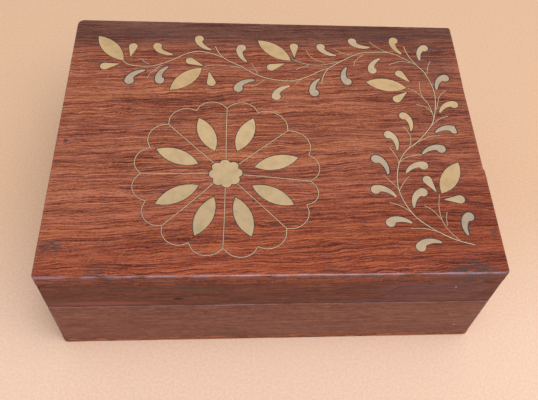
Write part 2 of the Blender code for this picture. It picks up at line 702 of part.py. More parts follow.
def add_lid_back_rail(pivot):
    rail = board("lid_back_rail", (-X_END, X_END), (INNER_BACK_Y, Y_BACK), (LID_LOW_Z, RAIL_TOP_Z),
                 False, True)
    cut(rail, chamfer_cutter("cut_lid_chamfer", 1))
    cut_hinge_seats(rail, 1)
    return finish_piece(rail, ROSEWOOD_SIDE, pivot)


# ---------------------------------------------------------------- brass inlay

def vesica(length, width, gap=0.0):
    """Pointed oval along X, made of two arcs; a gap moves both arcs outwards."""
    radius = (length ** 2 + width ** 2) / (4 * width)
    offset = radius - width / 2
    radius += gap
    half_angle = math.acos(offset / radius)
    points = []
    for direction in (1, -1):
        for i in range(ARC_STEPS):
            angle = half_angle * (1 - 2 * i / ARC_STEPS)
            points.append((direction * radius * math.sin(angle),
                           direction * (radius * math.cos(angle) - offset)))
    return points


def lobed_disc(gap=0.0):
    """Flower centre: a ring of round lobes that meet in cusps."""
    radius = LOBE_RADIUS + gap
    sector = math.pi / LOBES
    half_chord = LOBE_CENTRE * math.sin(sector)
    cusp_x = LOBE_CENTRE * math.cos(sector) + math.sqrt(radius ** 2 - half_chord ** 2)
    cusp = Vector((cusp_x * math.cos(sector) - LOBE_CENTRE, cusp_x * math.sin(sector)))
    spread = math.atan2(cusp.y, cusp.x)
    points = []
    for lobe in range(LOBES):
        turn = LOBE_TURN + 2 * sector * lobe
        for i in range(LOBE_STEPS):
            angle = turn + spread * (2 * i / LOBE_STEPS - 1)
            points.append((LOBE_CENTRE * math.cos(turn) + radius * math.cos(angle),
                           LOBE_CENTRE * math.sin(turn) + radius * math.sin(angle)))
    return points


def add_inlay(name, outline_maker, location, turn, top_board, pivot):
    """Brass piece flush with the lid, in a pocket of its own."""
    place = (*location, HEIGHT)
    piece = add_object(name, prism(outline_maker(0.0), -INLAY_THICKNESS, 0), place)
    pocket = add_object("cut_pocket_" + name,
                        prism(outline_maker(GAP), -INLAY_THICKNESS - GAP, CUT_MARGIN), place)
    for part in (piece, pocket):
        part.rotation_euler = (0, 0, turn)
    cut(top_board, pocket)
    return finish_piece(piece, BRASS, pivot)


def add_flower(top_board, pivot):
    add_inlay("flower_centre", lobed_disc, (FLOWER_X, FLOWER_Y), 0.0, top_board, pivot)
    for number, degrees in enumerate(PETAL_ANGLES, start=1):
        turn = math.radians(degrees)
        location = (FLOWER_X + PETAL_MIDDLE * math.cos(turn), FLOWER_Y + PETAL_MIDDLE * math.sin(turn))
        add_inlay(f"petal_{number}", lambda gap: vesica(PETAL_LENGTH, PETAL_WIDTH, gap), location, turn,
                  top_board, pivot)


def add_leaves(top_board, pivot):
    for number, ends in enumerate(LEAF_TIPS, start=1):
        stem, tip = (Vector(end) * MM for end in ends)
        along = tip - stem
        location = (stem + tip) / 2
        add_inlay(f"leaf_{number}", lambda gap: vesica(along.length, LEAF_WIDTH, gap), location,
                  math.atan2(along.y, along.x), top_board, pivot)


# ---------------------------------------------------------------- the whole box

def build():
    clear_scene()
    base = make_pivot("base_pivot", Vector((0, 0, 0)))
    lid = make_pivot("lid_pivot", Vector((0, HINGE_Y, SEAM_Z)))
    panel = make_pivot("panel_pivot", Vector((0, PANEL_BACK_Y, TONGUE_Z)))
    key = make_pivot("key_pivot", Vector((-X_END, KEY_Y, KEY_Z)))
    bolt = make_pivot("bolt_pivot", Vector((LOCK_X, BOLT_Y, BOLT_LOW_Z)))

    add_bottom_board(base)
    front_wall = add_base_front_wall(base)
    back_wall = add_base_back_wall(base)
    add_side_board("base_left_wall", -1, (WALL_LOW_Z, BASE_TOP_Z), base)
    add_side_board("base_right_wall", 1, (WALL_LOW_Z, BASE_TOP_Z), base)
    add_felt("base_lining", BOTTOM_THICKNESS + GAP, base)

    add_front_panel(panel)
    add_panel_stop_pin(base)
    add_key(key)

    lock_case = add_lock_case(base)
    add_lock_pin(base)
    add_bolt_spring(base)
    add_lock_screws(front_wall, lock_case, base)
    add_lock_bolt(bolt)

    top_board = add_lid_top_board(lid)
    front_rail = add_lid_front_rail(lid)
    back_rail = add_lid_back_rail(lid)
    add_side_board("lid_left_rail", -1, (LID_LOW_Z, RAIL_TOP_Z), lid)
    add_side_board("lid_right_rail", 1, (LID_LOW_Z, RAIL_TOP_Z), lid)
    add_felt("lid_lining", RAIL_TOP_Z - FELT_THICKNESS, lid)
    strike_plate = add_strike_plate(lid)
    add_strike_screws(front_rail, strike_plate, lid)

    add_hinges(back_wall, back_rail, base, lid)
    add_flower(top_board, lid)
    add_leaves(top_board, lid)


build()
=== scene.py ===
"""Looks of the wooden puzzle box: rosewood boards, flush brass inlay, felt linings and brass hardware.

Everything is in metres in the CAD frame: the box stands on z = 0, centred on the origin, with its front
towards -Y. The inlay's places are in millimetres from the middle of the lid, as (x, y).
"""

import math

import bmesh
import bpy
from mathutils import Euler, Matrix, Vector, noise


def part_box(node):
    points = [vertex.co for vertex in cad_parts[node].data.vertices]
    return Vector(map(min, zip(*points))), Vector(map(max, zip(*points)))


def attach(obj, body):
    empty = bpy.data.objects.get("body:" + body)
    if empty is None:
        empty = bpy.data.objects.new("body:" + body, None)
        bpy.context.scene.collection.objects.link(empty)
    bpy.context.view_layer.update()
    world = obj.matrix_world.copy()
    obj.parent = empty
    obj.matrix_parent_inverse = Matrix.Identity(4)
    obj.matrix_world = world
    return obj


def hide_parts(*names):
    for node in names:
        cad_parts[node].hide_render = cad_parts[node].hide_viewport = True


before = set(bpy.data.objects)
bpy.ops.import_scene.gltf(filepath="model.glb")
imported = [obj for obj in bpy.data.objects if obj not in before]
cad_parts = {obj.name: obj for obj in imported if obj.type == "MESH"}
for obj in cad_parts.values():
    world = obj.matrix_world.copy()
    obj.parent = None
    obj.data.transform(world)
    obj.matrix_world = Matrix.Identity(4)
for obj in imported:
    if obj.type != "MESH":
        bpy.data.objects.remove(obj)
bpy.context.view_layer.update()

MM = 0.001
LID_LOW, LID_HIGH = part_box("lid_top_board")
X_END = LID_HIGH.x
TOP_Z = LID_HIGH.z
LENGTH = 2 * X_END

# Wood
FRONT_DRAFT = 0.3 * MM            # at the lower edge of the lid's front
JOINT = 0.01 * MM                 # what is left between glued boards
JOINT_CLOSING = 0.3 * MM - JOINT  # taken from the CAD's gap of 0.3 mm
LID_CORNERS = (2.0 * MM, 2.0 * MM, 1.4 * MM, 3.4 * MM)      # radii, counter-clockwise from front left
LID_FLAT_RING = 0.4 * MM          # width of the ring inside the rounding, over which the wear and the painted edge highlight fade
LID_WEAR_AND_HIGHLIGHT = (0.2, 0.5, 0.8, 1.0, 1.0, 0.7)                   # wear and painted edge highlight on the lid's top rings, from the side inwards
NICK_Y = -19.4 * MM               # nick in the lid's right edge
NICK_DEPTH = 1.1 * MM
NICK_HALF = 1.4 * MM              # half its length along the edge
DRESSED_BACK = 0.6 * MM           # how far the right edge behind the nick is planed in

# Felt
FELT_SUNK = 0.2 * MM              # its middle height below the CAD's face, which leaves room for its lumps
FELT_RIM = 1.5 * MM               # where it is pressed down along its edges
FELT_RIM_DROP = 0.35 * MM

# Inlay
FILLER_RING = 0.33 * MM           # dark filler round each brass piece
WIDE_RING = 1.5                   # times wider round the grey commas
POCKET_DEPTH = 1.5 * MM
FILLER_OVERLAP = 0.02 * MM        # into the wood round it
FILLER_SINK = 0.10 * MM           # the filler has shrunk a little below the wood
BRASS_PROUD = 0.02 * MM
PLATE_THICKNESS = 1.2 * MM
PLATE_BEVEL = 0.1 * MM
WIRE_HALF = 0.15 * MM
WIRE_DEPTH = 0.5 * MM
WIRE_PROUD = 0.040 * MM
WIRE_CROWN = 0.030 * MM           # how much of that is the wire's rounded top
WIRE_FILLER_PROUD = 0.006 * MM
WIRE_FILLER_WIDTH = 2.3           # times the wire's width
WIRE_STEP = 1.2 * MM
MAIN_STEMS = 4                    # the first of STEMS, in thicker wire

# Flower
FLOWER = (-22.4, -23.4)
SPOKE_START = 8.0
SPOKES = (                        # angle and length of each straight wire
    (-6.3, 39.5), (40.2, 39.1), (89.5, 38.9), (134.0, 39.8), (180.1, 38.8), (225.2, 39.2), (268.7, 39.1),
    (312.5, 40.0),
)
NOTCHES = (                       # angle and radius of the cusps between them
    (15.2, 40.6), (67.0, 39.7), (111.4, 40.1), (157.6, 38.4), (202.9, 38.5), (246.6, 39.6), (290.3, 41.0),
    (334.8, 40.5),
)
LOBE_RISE = 4.1

# Commas of the vine: head x, y, heading of the tail in degrees, side of the bulge, metal
COMMAS = (
    (-58.6, 57.4, -35, -1, "gold"), (-37.1, 63.3, -51, -1, "pale_gold"), (-14.8, 57.2, -75, -1, "straw"),
    (-71.2, 33.1, 44, 1, "grey"), (-56.1, 33.6, 68, 1, "grey"), (27.5, 59.0, -38, -1, "straw"),
    (45.0, 63.5, -24, -1, "straw"), (67.9, 64.7, -72, -1, "gold"), (84.2, 59.5, -112, -1, "straw"),
    (-16.6, 28.8, 34, 1, "grey"), (2.5, 23.8, 44, 1, "straw"), (22.0, 26.5, 70, 1, "grey"),
    (39.7, 34.4, 87, 1, "grey"), (53.8, 42.6, 59, 1, "straw"), (92.0, 37.9, -125, -1, "grey"),
    (93.6, 19.7, -147, -1, "pale_gold"), (90.7, 3.2, -170, -1, "grey"), (66.2, 11.9, -76, 1, "pale_gold"),
    (57.0, -0.1, -72, 1, "straw"), (82.0, -8.6, -162, -1, "grey"), (49.0, -14.8, -61, 1, "grey"),
    (71.7, -18.6, -154, -1, "straw"), (46.9, -32.3, -24, 1, "straw"), (69.0, -33.8, -122, -1, "straw"),
    (51.7, -50.0, -2, 1, "straw"), (88.6, -47.1, -103, -1, "grey"), (63.7, -62.5, 12, 1, "straw"),
)
SQUARE_COMMA = 17                 # its head was cut off square, there
SQUARE_CUT = -1.0
COMMA_HEAD = 2.35
COMMA_INNER = ((2.25, -0.15), (4.0, 0.9), (6.6, 0.75), (9.9, -0.35))     # control points, head to tip
COMMA_OUTER = ((10.3, 0.35), (7.6, 3.3), (2.2, 4.5), (-1.18, 2.04))      # and back to the head

# Drops of the vine: head x, y, heading of the point in degrees
DROPS = (
    (-71.1, 56.8, -97), (-84.4, 42.6, 14), (-41.4, 47.2, -26), (-30.2, 32.4, 100), (13.1, 58.8, -91),
    (0.5, 43.6, 21), (67.9, 40.5, -51), (64.4, 23.0, 39), (72.2, -26.9, -64), (86.1, -37.7, -179),
)
DROP_HEAD = 2.25
DROP_LENGTH = 7.6
DROP_TIP_HALF = 0.12
LAST_GOLD_DROP = 8                # the drops after it are of straw-coloured brass

# Stems and twigs of the vine, each one smooth line
STEMS = (
    ((-75.5, 46.5), (-73, 44.3), (-68.5, 43.1), (-62, 43), (-57, 44.3), (-50, 48), (-43.5, 52.2),
     (-37.5, 54.1), (-32, 53.2), (-27, 51.2), (-24.7, 50)),
    ((-28.6, 58), (-26.8, 53.5), (-24.5, 50.2), (-20.5, 47), (-15, 43.8), (-9.3, 39.5), (-3.8, 36.6),
     (3, 34.8), (10, 34.3), (15.5, 35.7), (20.5, 38.1), (25.5, 41.2), (30, 43.2)),
    ((26.2, 32.6), (27.1, 36.7), (28.7, 40.6), (32, 44.6), (38.5, 49.2), (45, 53.2), (49.5, 55.1),
     (56, 55.6), (63, 55.8), (67.5, 54.2), (72, 51.3), (77.6, 47.2)),
    ((73.1, 60.4), (73.6, 56.8), (75.3, 51.8), (78.3, 46.5), (81.3, 42), (83.2, 36.5), (84.4, 30.8),
     (84.6, 25), (83.5, 17.5), (81.6, 10.4), (79.5, 5.8), (75.7, 0.8), (70.8, -4.6), (65.2, -9.2),
     (61.3, -14.5), (59, -20.5), (57.8, -27.7), (58, -33.5), (60, -40.5), (63.6, -47), (68.6, -51.9),
     (74.5, -56), (80.5, -59.2), (88.2, -61.7)),
    ((-67.1, 48.5), (-64.8, 46.3), (-62, 44.3)),
    ((-62.5, 34.5), (-61.2, 38.1), (-58.5, 41.3), (-55.7, 44)),
    ((-34, 43.5), (-28.4, 44.5), (-21, 44), (-15.6, 43.1)),
    ((-9.7, 46.3), (-8, 42.5), (-6.5, 38.5)),
    ((-10, 30), (-6.5, 31.8), (-3, 34.8)),
    ((13, 32.2), (14.2, 34.2), (16.2, 35.8)),
    ((11.6, 49.5), (17, 46.9), (22.5, 45.6), (28.5, 46), (36, 48.1)),
    ((19.8, 56), (20.5, 53.2), (23.3, 50.1), (28.9, 47.2)),
    ((13.5, 42.2), (16.5, 44.1), (20.3, 45.3)),
    ((44, 45.8), (45.2, 48.6), (47.2, 51.3), (49.9, 53.8)),
    ((34, 58.1), (36.7, 55.8), (40.2, 54.1), (44.9, 53.3)),
    ((54.5, 63.5), (57.2, 60.3), (60, 58), (63.1, 56)),
    ((63.1, 46.7), (67, 48.5), (71.3, 49.2), (75, 48.5)),
    ((86, 49.9), (84.5, 46.7), (83.4, 43), (82.9, 40.5)),
    ((91, 29), (88.2, 26.8), (86.2, 23.4), (85, 19.5), (83.8, 16)),
    ((71, 30.5), (75, 27.8), (78.3, 23.4), (80.3, 19.5), (81.2, 15), (81.6, 11)),
    ((77.9, 34.7), (77.4, 31), (77.4, 27), (78.5, 23.2)),
    ((74, 19.5), (77.5, 18.4), (80, 16.3), (81.4, 13.8)),
    ((89.2, 11.9), (85.7, 10.8), (82.5, 8.7), (80, 6)),
    ((82.7, -0.6), (78.3, -1), (74.8, -2.4), (71.5, -4.4)),
    ((65.3, 5.1), (66.9, 2), (67.8, -1), (67.4, -5), (66, -8.4)),
    ((56.6, -7.9), (58.1, -11), (59.6, -14.8), (59.8, -17.6)),
    ((71.8, -12.3), (66.4, -13.1), (62.3, -14.9), (60.4, -16.8)),
    ((52.1, -24.6), (54.8, -28.1), (57.8, -32)),
    ((63.6, -25), (61, -28), (58, -33)),
    ((52.5, -39.4), (56, -40.6), (59.3, -42.4), (62.4, -45)),
    ((60.5, -53.1), (66.5, -53.2), (72.5, -54.8)),
    ((76.7, -35.2), (75.6, -40), (75.2, -45), (75.9, -50), (78, -54.8), (81.9, -59.4)),
    ((68.6, -41.2), (71.2, -42.9), (73.5, -45.4), (75.3, -48.6)),
    ((78.6, -44.6), (77.8, -48), (77.6, -52)),
)

# Stains of the lid: x, y, half length along the grain, how many times longer than wide, strength
STAINS = (
    (-96.0, -61.0, 6.5, 1.3, 0.85), (-76.0, -72.5, 6.0, 1.6, 0.7), (98.5, -56.0, 3.0, 1.2, 0.8),
    (-97.0, -5.0, 1.6, 1.2, 0.95), (40.0, -50.0, 2.2, 1.5, 0.5), (75.6, 43.4, 2.0, 1.6, 0.75),
    (76.4, -30.6, 1.6, 1.0, 0.9), (89.3, -37.9, 1.5, 1.0, 0.9), (97.5, 43.7, 0.9, 1.0, 0.8),
    (86.0, -73.5, 15.0, 2.2, 0.7), (-47.0, 6.5, 8.0, 6.0, 0.8), (-19.0, 9.0, 6.0, 6.0, 0.5),
    (-90.0, 46.0, 9.0, 5.0, 0.6), (12.0, 49.5, 4.0, 2.0, 0.8), (86.0, 58.0, 15.0, 2.6, 0.75),
    (64.0, 66.0, 22.0, 5.0, 0.4), (-60.0, 67.0, 20.0, 6.0, 0.4), (86.0, 46.0, 18.0, 1.3, 0.35),
)

# Groups of fine scratches in the lid: slope, middle x and y, reach, strength
SCRATCHES = (
    (1.6, -70, -64, 16, 0.5), (-0.7, -40, -52, 14, 0.35), (0.5, 20, -66, 60, 0.25), (2.5, 60, 10, 60, 0.15),
)

# Colours, linear. A tint multiplies the colour under it.
WOOD_DARK = (0.050, 0.011, 0.007)
WOOD_DEEP = (0.125, 0.025, 0.012)
WOOD_MID = (0.250, 0.060, 0.027)
WOOD_LIGHT = (0.450, 0.165, 0.078)
PURPLE_TINT = (0.97, 0.96, 1.18)
STRAW_TINT = (1.04, 1.07, 0.90)
SIDE_TINT = (0.96, 1.12, 1.45)
LID_BACK_TINT = (0.48, 0.60, 0.83)
LID_FRONT_TINT = (0.87, 0.61, 0.43)
LID_RIGHT_TINT = (0.86, 0.84, 0.87)
LID_EDGE_TINT = (0.80, 0.77, 0.72)
PORE = (0.030, 0.012, 0.011)
INK = (0.045, 0.036, 0.036)
# Lilac of rubbed edges, with a painted highlight of the cool overhead light in it
RUB_AND_HIGHLIGHT = (0.31, 0.24, 0.34)
SCRATCH = (0.56, 0.33, 0.24)
SPECK = (0.75, 0.66, 0.60)
KNOT = (0.045, 0.008, 0.006)
OLIVE = (0.090, 0.060, 0.030)
REDDISH = (0.300, 0.075, 0.050)
FILLER = (0.018, 0.012, 0.010)
FILLER_DUST = (0.050, 0.025, 0.018)
INLAY_METALS = {
    "wire": (0.750, 0.545, 0.325),
    "straw": (0.580, 0.428, 0.270),
    "pale_gold": (0.600, 0.430, 0.235),
    "gold": (0.600, 0.408, 0.210),
    "grey": (0.485, 0.372, 0.262),
}
HARDWARE_BRASS = (0.560, 0.380, 0.150)
BRASS_FRONT_SHADE_TINT = (0.80, 0.80, 0.82)         # painted shade on the inlay towards the front
BRASS_BACK_HIGHLIGHT_TINT = (1.11, 1.09, 1.07)          # painted highlight on the inlay towards the back
GRIME = (0.10, 0.07, 0.04)
STEEL = (0.38, 0.36, 0.34)
RUST = (0.12, 0.055, 0.025)
FELT = (0.230, 0.016, 0.022)
FELT_RUBBED = (0.27, 0.030, 0.034)
FLOOR_SPECKLE = (0.675, 0.430, 0.272)
FLOOR = (0.740, 0.480, 0.308)
# Painted pool of light on the floor near the box, and painted shade farther in front
FLOOR_LIGHT_POOL_TINT = (1.12, 1.20, 1.38)
FLOOR_OUTER_SHADE_TINT = (0.80, 0.80, 0.80)

# Marks on the fronts: x, z, half length, half height, strength, colour
# The rail's last mark is a broad, faint lilac sheen at its right, partly rub and partly painted highlight
RAIL_MARKS = (
    (-43, 48.2, 3.0, 1.9, 0.95, KNOT), (-32, 57, 14, 3.0, 0.45, OLIVE), (-76, 44.2, 30, 2.8, 0.75, REDDISH),
    (-80, 48.4, 30, 1.1, 0.6, OLIVE), (-60, 58.5, 45, 1.4, 0.45, OLIVE), (80.5, 57, 0.5, 0.5, 0.9, SPECK),
    (72, 54, 34, 16, 0.06, RUB_AND_HIGHLIGHT),
)
PANEL_MARKS = (
    (91, 14, 0.5, 0.5, 0.9, SPECK), (70, 19, 1.6, 0.5, 0.8, PORE), (-62, 39.5, 9, 1.4, 0.5, OLIVE),
)

# Area lights: name, place, size, power, colour
LIGHTS = (
    ("overhead", (0.05, -0.15, 1.10), 0.35, 3.0, (0.76, 0.85, 1.0)),
    ("key", (0.32, -0.35, 1.05), 0.9, 7.6, (1.0, 0.98, 0.96)),
)


# ---------------------------------------------------------------- node materials

class Shader:
    """A Principled material and short calls for its nodes. Lengths inside it are in millimetres."""

    def __init__(self, name):
        self.material = bpy.data.materials.new(name)
        self.material.use_nodes = True
        self.tree = self.material.node_tree
        self.principled = self.tree.nodes["Principled BSDF"]
        place = self.tree.nodes.new("ShaderNodeTexCoord").outputs["Object"]
        self.place = self.vector_math("SCALE", place, scale=1 / MM)
        self.x, self.y, self.z = self.split(self.place)

    def put(self, socket, value):
        if isinstance(value, bpy.types.NodeSocket):
            self.tree.links.new(value, socket)
        elif hasattr(value, "__len__") and len(value) == 3 and socket.type == "RGBA":
            socket.default_value = (*value, 1.0)
        else:
            socket.default_value = value

    def set(self, name, value):
        self.put(self.principled.inputs[name], value)

    def math(self, operation, a, b):
        node = self.tree.nodes.new("ShaderNodeMath")
        node.operation = operation
        self.put(node.inputs[0], a)
        self.put(node.inputs[1], b)
        return node.outputs[0]

    def vector_math(self, operation, a, b=(0, 0, 0), scale=1.0):
        node = self.tree.nodes.new("ShaderNodeVectorMath")
        node.operation = operation
        self.put(node.inputs[0], a)
        if operation == "SCALE":
            node.inputs["Scale"].default_value = scale
        elif operation != "LENGTH":
            self.put(node.inputs[1], b)
        return node.outputs["Value" if operation in ("LENGTH", "DISTANCE") else "Vector"]

    def split(self, vector):
        node = self.tree.nodes.new("ShaderNodeSeparateXYZ")
        self.put(node.inputs[0], vector)
        return node.outputs

    def vector(self, x, y, z):
        node = self.tree.nodes.new("ShaderNodeCombineXYZ")
        for socket, value in zip(node.inputs, (x, y, z)):
            self.put(socket, value)
        return node.outputs[0]

    def sized(self, x, y, z, sizes, offset=0.0):
        """Noise coordinates whose features are about sizes millimetres long."""
        parts = [self.math("DIVIDE", value, size) for value, size in zip((x, y, z), sizes)]
        return self.vector_math("ADD", self.vector(*parts), (offset, offset * 1.7, offset * 0.6))

    def noise(self, vector, detail=2.0, roughness=0.5):
        node = self.tree.nodes.new("ShaderNodeTexNoise")
        node.inputs["Scale"].default_value = 1.0
        node.inputs["Detail"].default_value = detail
        node.inputs["Roughness"].default_value = roughness
        self.put(node.inputs["Vector"], vector)
        return node.outputs["Fac"]

    def band(self, value, low, high, to_low=0.0, to_high=1.0):
        """Smooth step of value between low and high."""
        node = self.tree.nodes.new("ShaderNodeMapRange")
        node.interpolation_type = "SMOOTHSTEP"
        self.put(node.inputs["Value"], value)
        limits = {"From Min": low, "From Max": high, "To Min": to_low, "To Max": to_high}
        for name, number in limits.items():
            node.inputs[name].default_value = number
        return node.outputs["Result"]

    def ramp(self, value, stops):
        node = self.tree.nodes.new("ShaderNodeValToRGB")
        elements = node.color_ramp.elements
        while len(elements) < len(stops):
            elements.new(0.5)
        for element, (position, colour) in zip(elements, stops):
            element.position = position
            element.color = (*colour, 1.0)
        self.put(node.inputs[0], value)
        return node.outputs["Color"]

    def mix(self, factor, a, b, blend="MIX"):
        node = self.tree.nodes.new("ShaderNodeMix")
        node.data_type = "RGBA"
        node.blend_type = blend
        self.put(node.inputs["Factor"], factor)
        self.put(node.inputs["A"], a)
        self.put(node.inputs["B"], b)
        return node.outputs["Result"]

    def tint(self, colour, tint, factor=1.0):
        return self.mix(factor, colour, tint, blend="MULTIPLY")

    def attribute(self, name):
        node = self.tree.nodes.new("ShaderNodeAttribute")
        node.attribute_name = name
        return node.outputs["Fac"]

    def bump(self, height, distance):
        node = self.tree.nodes.new("ShaderNodeBump")
        node.inputs["Distance"].default_value = distance
        self.put(node.inputs["Height"], height)
        self.set("Normal", node.outputs["Normal"])


def rosewood(name, seed, pith, contrast, tint=None, grain="X", tone=0.0, slope=0.02, marks=(), lid=False,
             rub_and_highlight_above=None):
    """Oiled sheesham. grain is the board's long way; pith is the tree's middle, across the grain and up."""
    s = Shader(name)
    along, across = (s.x, s.y) if grain == "X" else (s.y, s.x)
    up = s.z

    # The tree's rings wander along the board, and its fibres ripple
    wander = s.noise(s.sized(along, across, up, (70, 24, 24), seed))
    wander = s.math("MULTIPLY", s.math("SUBTRACT", wander, 0.5), 16.0)
    wander = s.math("SUBTRACT", wander, s.math("MULTIPLY", along, slope))
    ripple = s.noise(s.sized(along, across, up, (8, 5, 5), seed + 3))
    ripple = s.math("MULTIPLY", s.math("SUBTRACT", ripple, 0.5), 2.2)
    from_pith_across = s.math("SUBTRACT", s.math("ADD", across, wander), pith[0])
    from_pith_up = s.math("SUBTRACT", up, pith[1])
    radius = s.vector_math("LENGTH", s.vector(from_pith_across, from_pith_up, 0.0))
    radius = s.math("ADD", radius, ripple)
    wavy = s.math("ADD", s.math("ADD", across, ripple), s.math("MULTIPLY", wander, 0.6))

    # Growth rings, streaks, long fibres, short fibres, fine noise and patches, each with its weight
    fibres = s.noise(s.sized(along, wavy, up, (44, 0.42, 1.2), seed + 13))
    layers = (
        (s.noise(s.sized(along, radius, 0.0, (140, 3.2, 1), seed)), 0.30),
        (s.noise(s.sized(along, radius, up, (50, 1.4, 6), seed + 7)), 0.16),
        (fibres, 1.00),
        (s.noise(s.sized(along, wavy, up, (9, 0.32, 0.8), seed + 31), roughness=0.6), 0.80),
        (s.noise(s.sized(along, wavy, up, (0.9, 0.45, 0.5), seed + 37), detail=1), 0.42),
        (s.noise(s.sized(along, across, up, (40, 14, 14), seed + 11)), 0.22),
    )
    value = 0.5 + tone
    for layer, weight in layers:
        change = s.math("MULTIPLY", s.math("SUBTRACT", layer, 0.5), weight * contrast)
        value = s.math("ADD", value, change)
    colour = s.ramp(value, ((0.27, WOOD_DARK), (0.40, WOOD_DEEP), (0.51, WOOD_MID), (0.72, WOOD_LIGHT)))

    # Purplish and straw-coloured growth, dark lines and pale streaks
    hue = s.noise(s.sized(along, radius, 0.0, (120, 5.0, 1), seed + 29), detail=3)
    colour = s.tint(colour, PURPLE_TINT, s.band(hue, 0.36, 0.54, 0.6 * contrast, 0.0))
    colour = s.tint(colour, STRAW_TINT, s.band(hue, 0.50, 0.68, 0.0, 0.6 * contrast))
    lines = s.band(s.noise(s.sized(along, radius, up, (40, 0.36, 2), seed + 17), detail=1), 0.55, 0.63)
    line_strength = s.band(across, -60, 0, 0.22, 0.51) if lid else 0.55 * contrast
    colour = s.mix(s.math("MULTIPLY", lines, line_strength), colour, WOOD_DEEP)
    pale = s.band(s.noise(s.sized(along, wavy, up, (18, 0.42, 2), seed + 23), detail=1), 0.56, 0.66)
    colour = s.mix(s.math("MULTIPLY", pale, 0.60 * contrast), colour, WOOD_LIGHT)

    if tint:
        colour = s.tint(colour, tint)
    if lid:
        colour = lid_tones(s, colour, along, across, wander)
    pores = s.noise(s.sized(along, wavy, up, (3.6, 0.30, 0.30), seed + 19), detail=1)
    pores = s.band(pores, 0.60, 0.70)
    colour = s.mix(s.math("MULTIPLY", pores, 0.28 + 0.22 * contrast), colour, PORE)
    for x, z, length, height, strength, mark_colour in marks:
        place = s.sized(s.x, 0.0, s.z, (length, 1.0, height))
        away = s.vector_math("DISTANCE", place, (x / length, 0.0, z / height))
        colour = s.mix(s.band(away, 0.4, 1.0, strength, 0.0), colour, mark_colour)
    if lid:
        colour = lid_marks(s, colour)
    # Rubbed edges: a lilac colour mixed in, partly real rub and partly a painted highlight, under a
    # glossier coat
    if lid or rub_and_highlight_above:
        wear_and_highlight = s.attribute("wear_and_highlight") if lid else s.band(s.z, rub_and_highlight_above, rub_and_highlight_above + 0.25, 0.0, 0.4)
        patchy = s.band(s.noise(s.sized(s.x, s.y, s.z, (9, 9, 9), 2.0)), 0.35, 0.6)
        rub_and_highlight = s.math("MULTIPLY", wear_and_highlight, patchy)
        colour = s.mix(s.math("MULTIPLY", rub_and_highlight, 0.4), colour, RUB_AND_HIGHLIGHT)
        s.set("Coat Weight", s.math("MULTIPLY", wear_and_highlight, 0.9))
    s.set("Base Color", colour)
    s.set("Roughness", s.math("ADD", s.math("MULTIPLY", fibres, 0.25), 0.36))
    s.set("Specular IOR Level", 0.20)
    s.set("Coat Roughness", 0.22)
    height = s.math("SUBTRACT", s.math("MULTIPLY", fibres, 0.6), s.math("ADD", pores, lines))
    s.bump(height, 0.035 * MM)
    return s.material


def lid_tones(s, colour, along, across, wander):
    """The lid's dark strip along the back, and its deeper tones to the front and the right."""
    edge_of_strip = s.math("ADD", across, s.math("MULTIPLY", wander, 0.5))
    strip = s.band(edge_of_strip, 52, 68)
    colour = s.mix(s.math("MULTIPLY", strip, 0.3), colour, WOOD_MID)
    colour = s.tint(colour, LID_BACK_TINT, strip)
    towards_front = s.math("SUBTRACT", across, s.math("MULTIPLY", along, 0.2))
    colour = s.tint(colour, LID_FRONT_TINT, s.band(towards_front, -6, -76))
    colour = s.tint(colour, LID_RIGHT_TINT, s.band(along, 25, 85))
    return s.tint(colour, LID_EDGE_TINT, s.band(across, -75.0, -75.9))


def lid_marks(s, colour):
    """Ink-like stains and fine scratches of the lid's top."""
    ragged = s.noise(s.sized(s.x, s.y, s.z, (3.5, 1.2, 3), 5.0), detail=3)
    for x, y, size, stretch, strength in STAINS:
        place = s.vector(s.x, s.math("MULTIPLY", s.y, stretch), 0.0)
        away = s.vector_math("DISTANCE", place, (x, stretch * y, 0.0))
        near = s.band(away, size * 0.25, size, strength, 0.0)
        near = s.math("MULTIPLY", near, s.band(ragged, 0.36, 0.56))
        colour = s.mix(near, colour, INK)
    for number, (slope, x, y, reach, strength) in enumerate(SCRATCHES):
        u = s.math("ADD", s.x, s.math("MULTIPLY", s.y, slope))
        v = s.math("SUBTRACT", s.y, s.math("MULTIPLY", s.x, slope))
        scratch = s.noise(s.sized(u, v, s.z, (16, 0.45, 9), 40.0 + 5 * number), detail=1)
        away = s.vector_math("DISTANCE", s.place, (x, y, TOP_Z / MM))
        near = s.band(away, reach * 0.4, reach, strength, 0.0)
        colour = s.mix(s.math("MULTIPLY", s.band(scratch, 0.69, 0.75), near), colour, SCRATCH)
    return colour


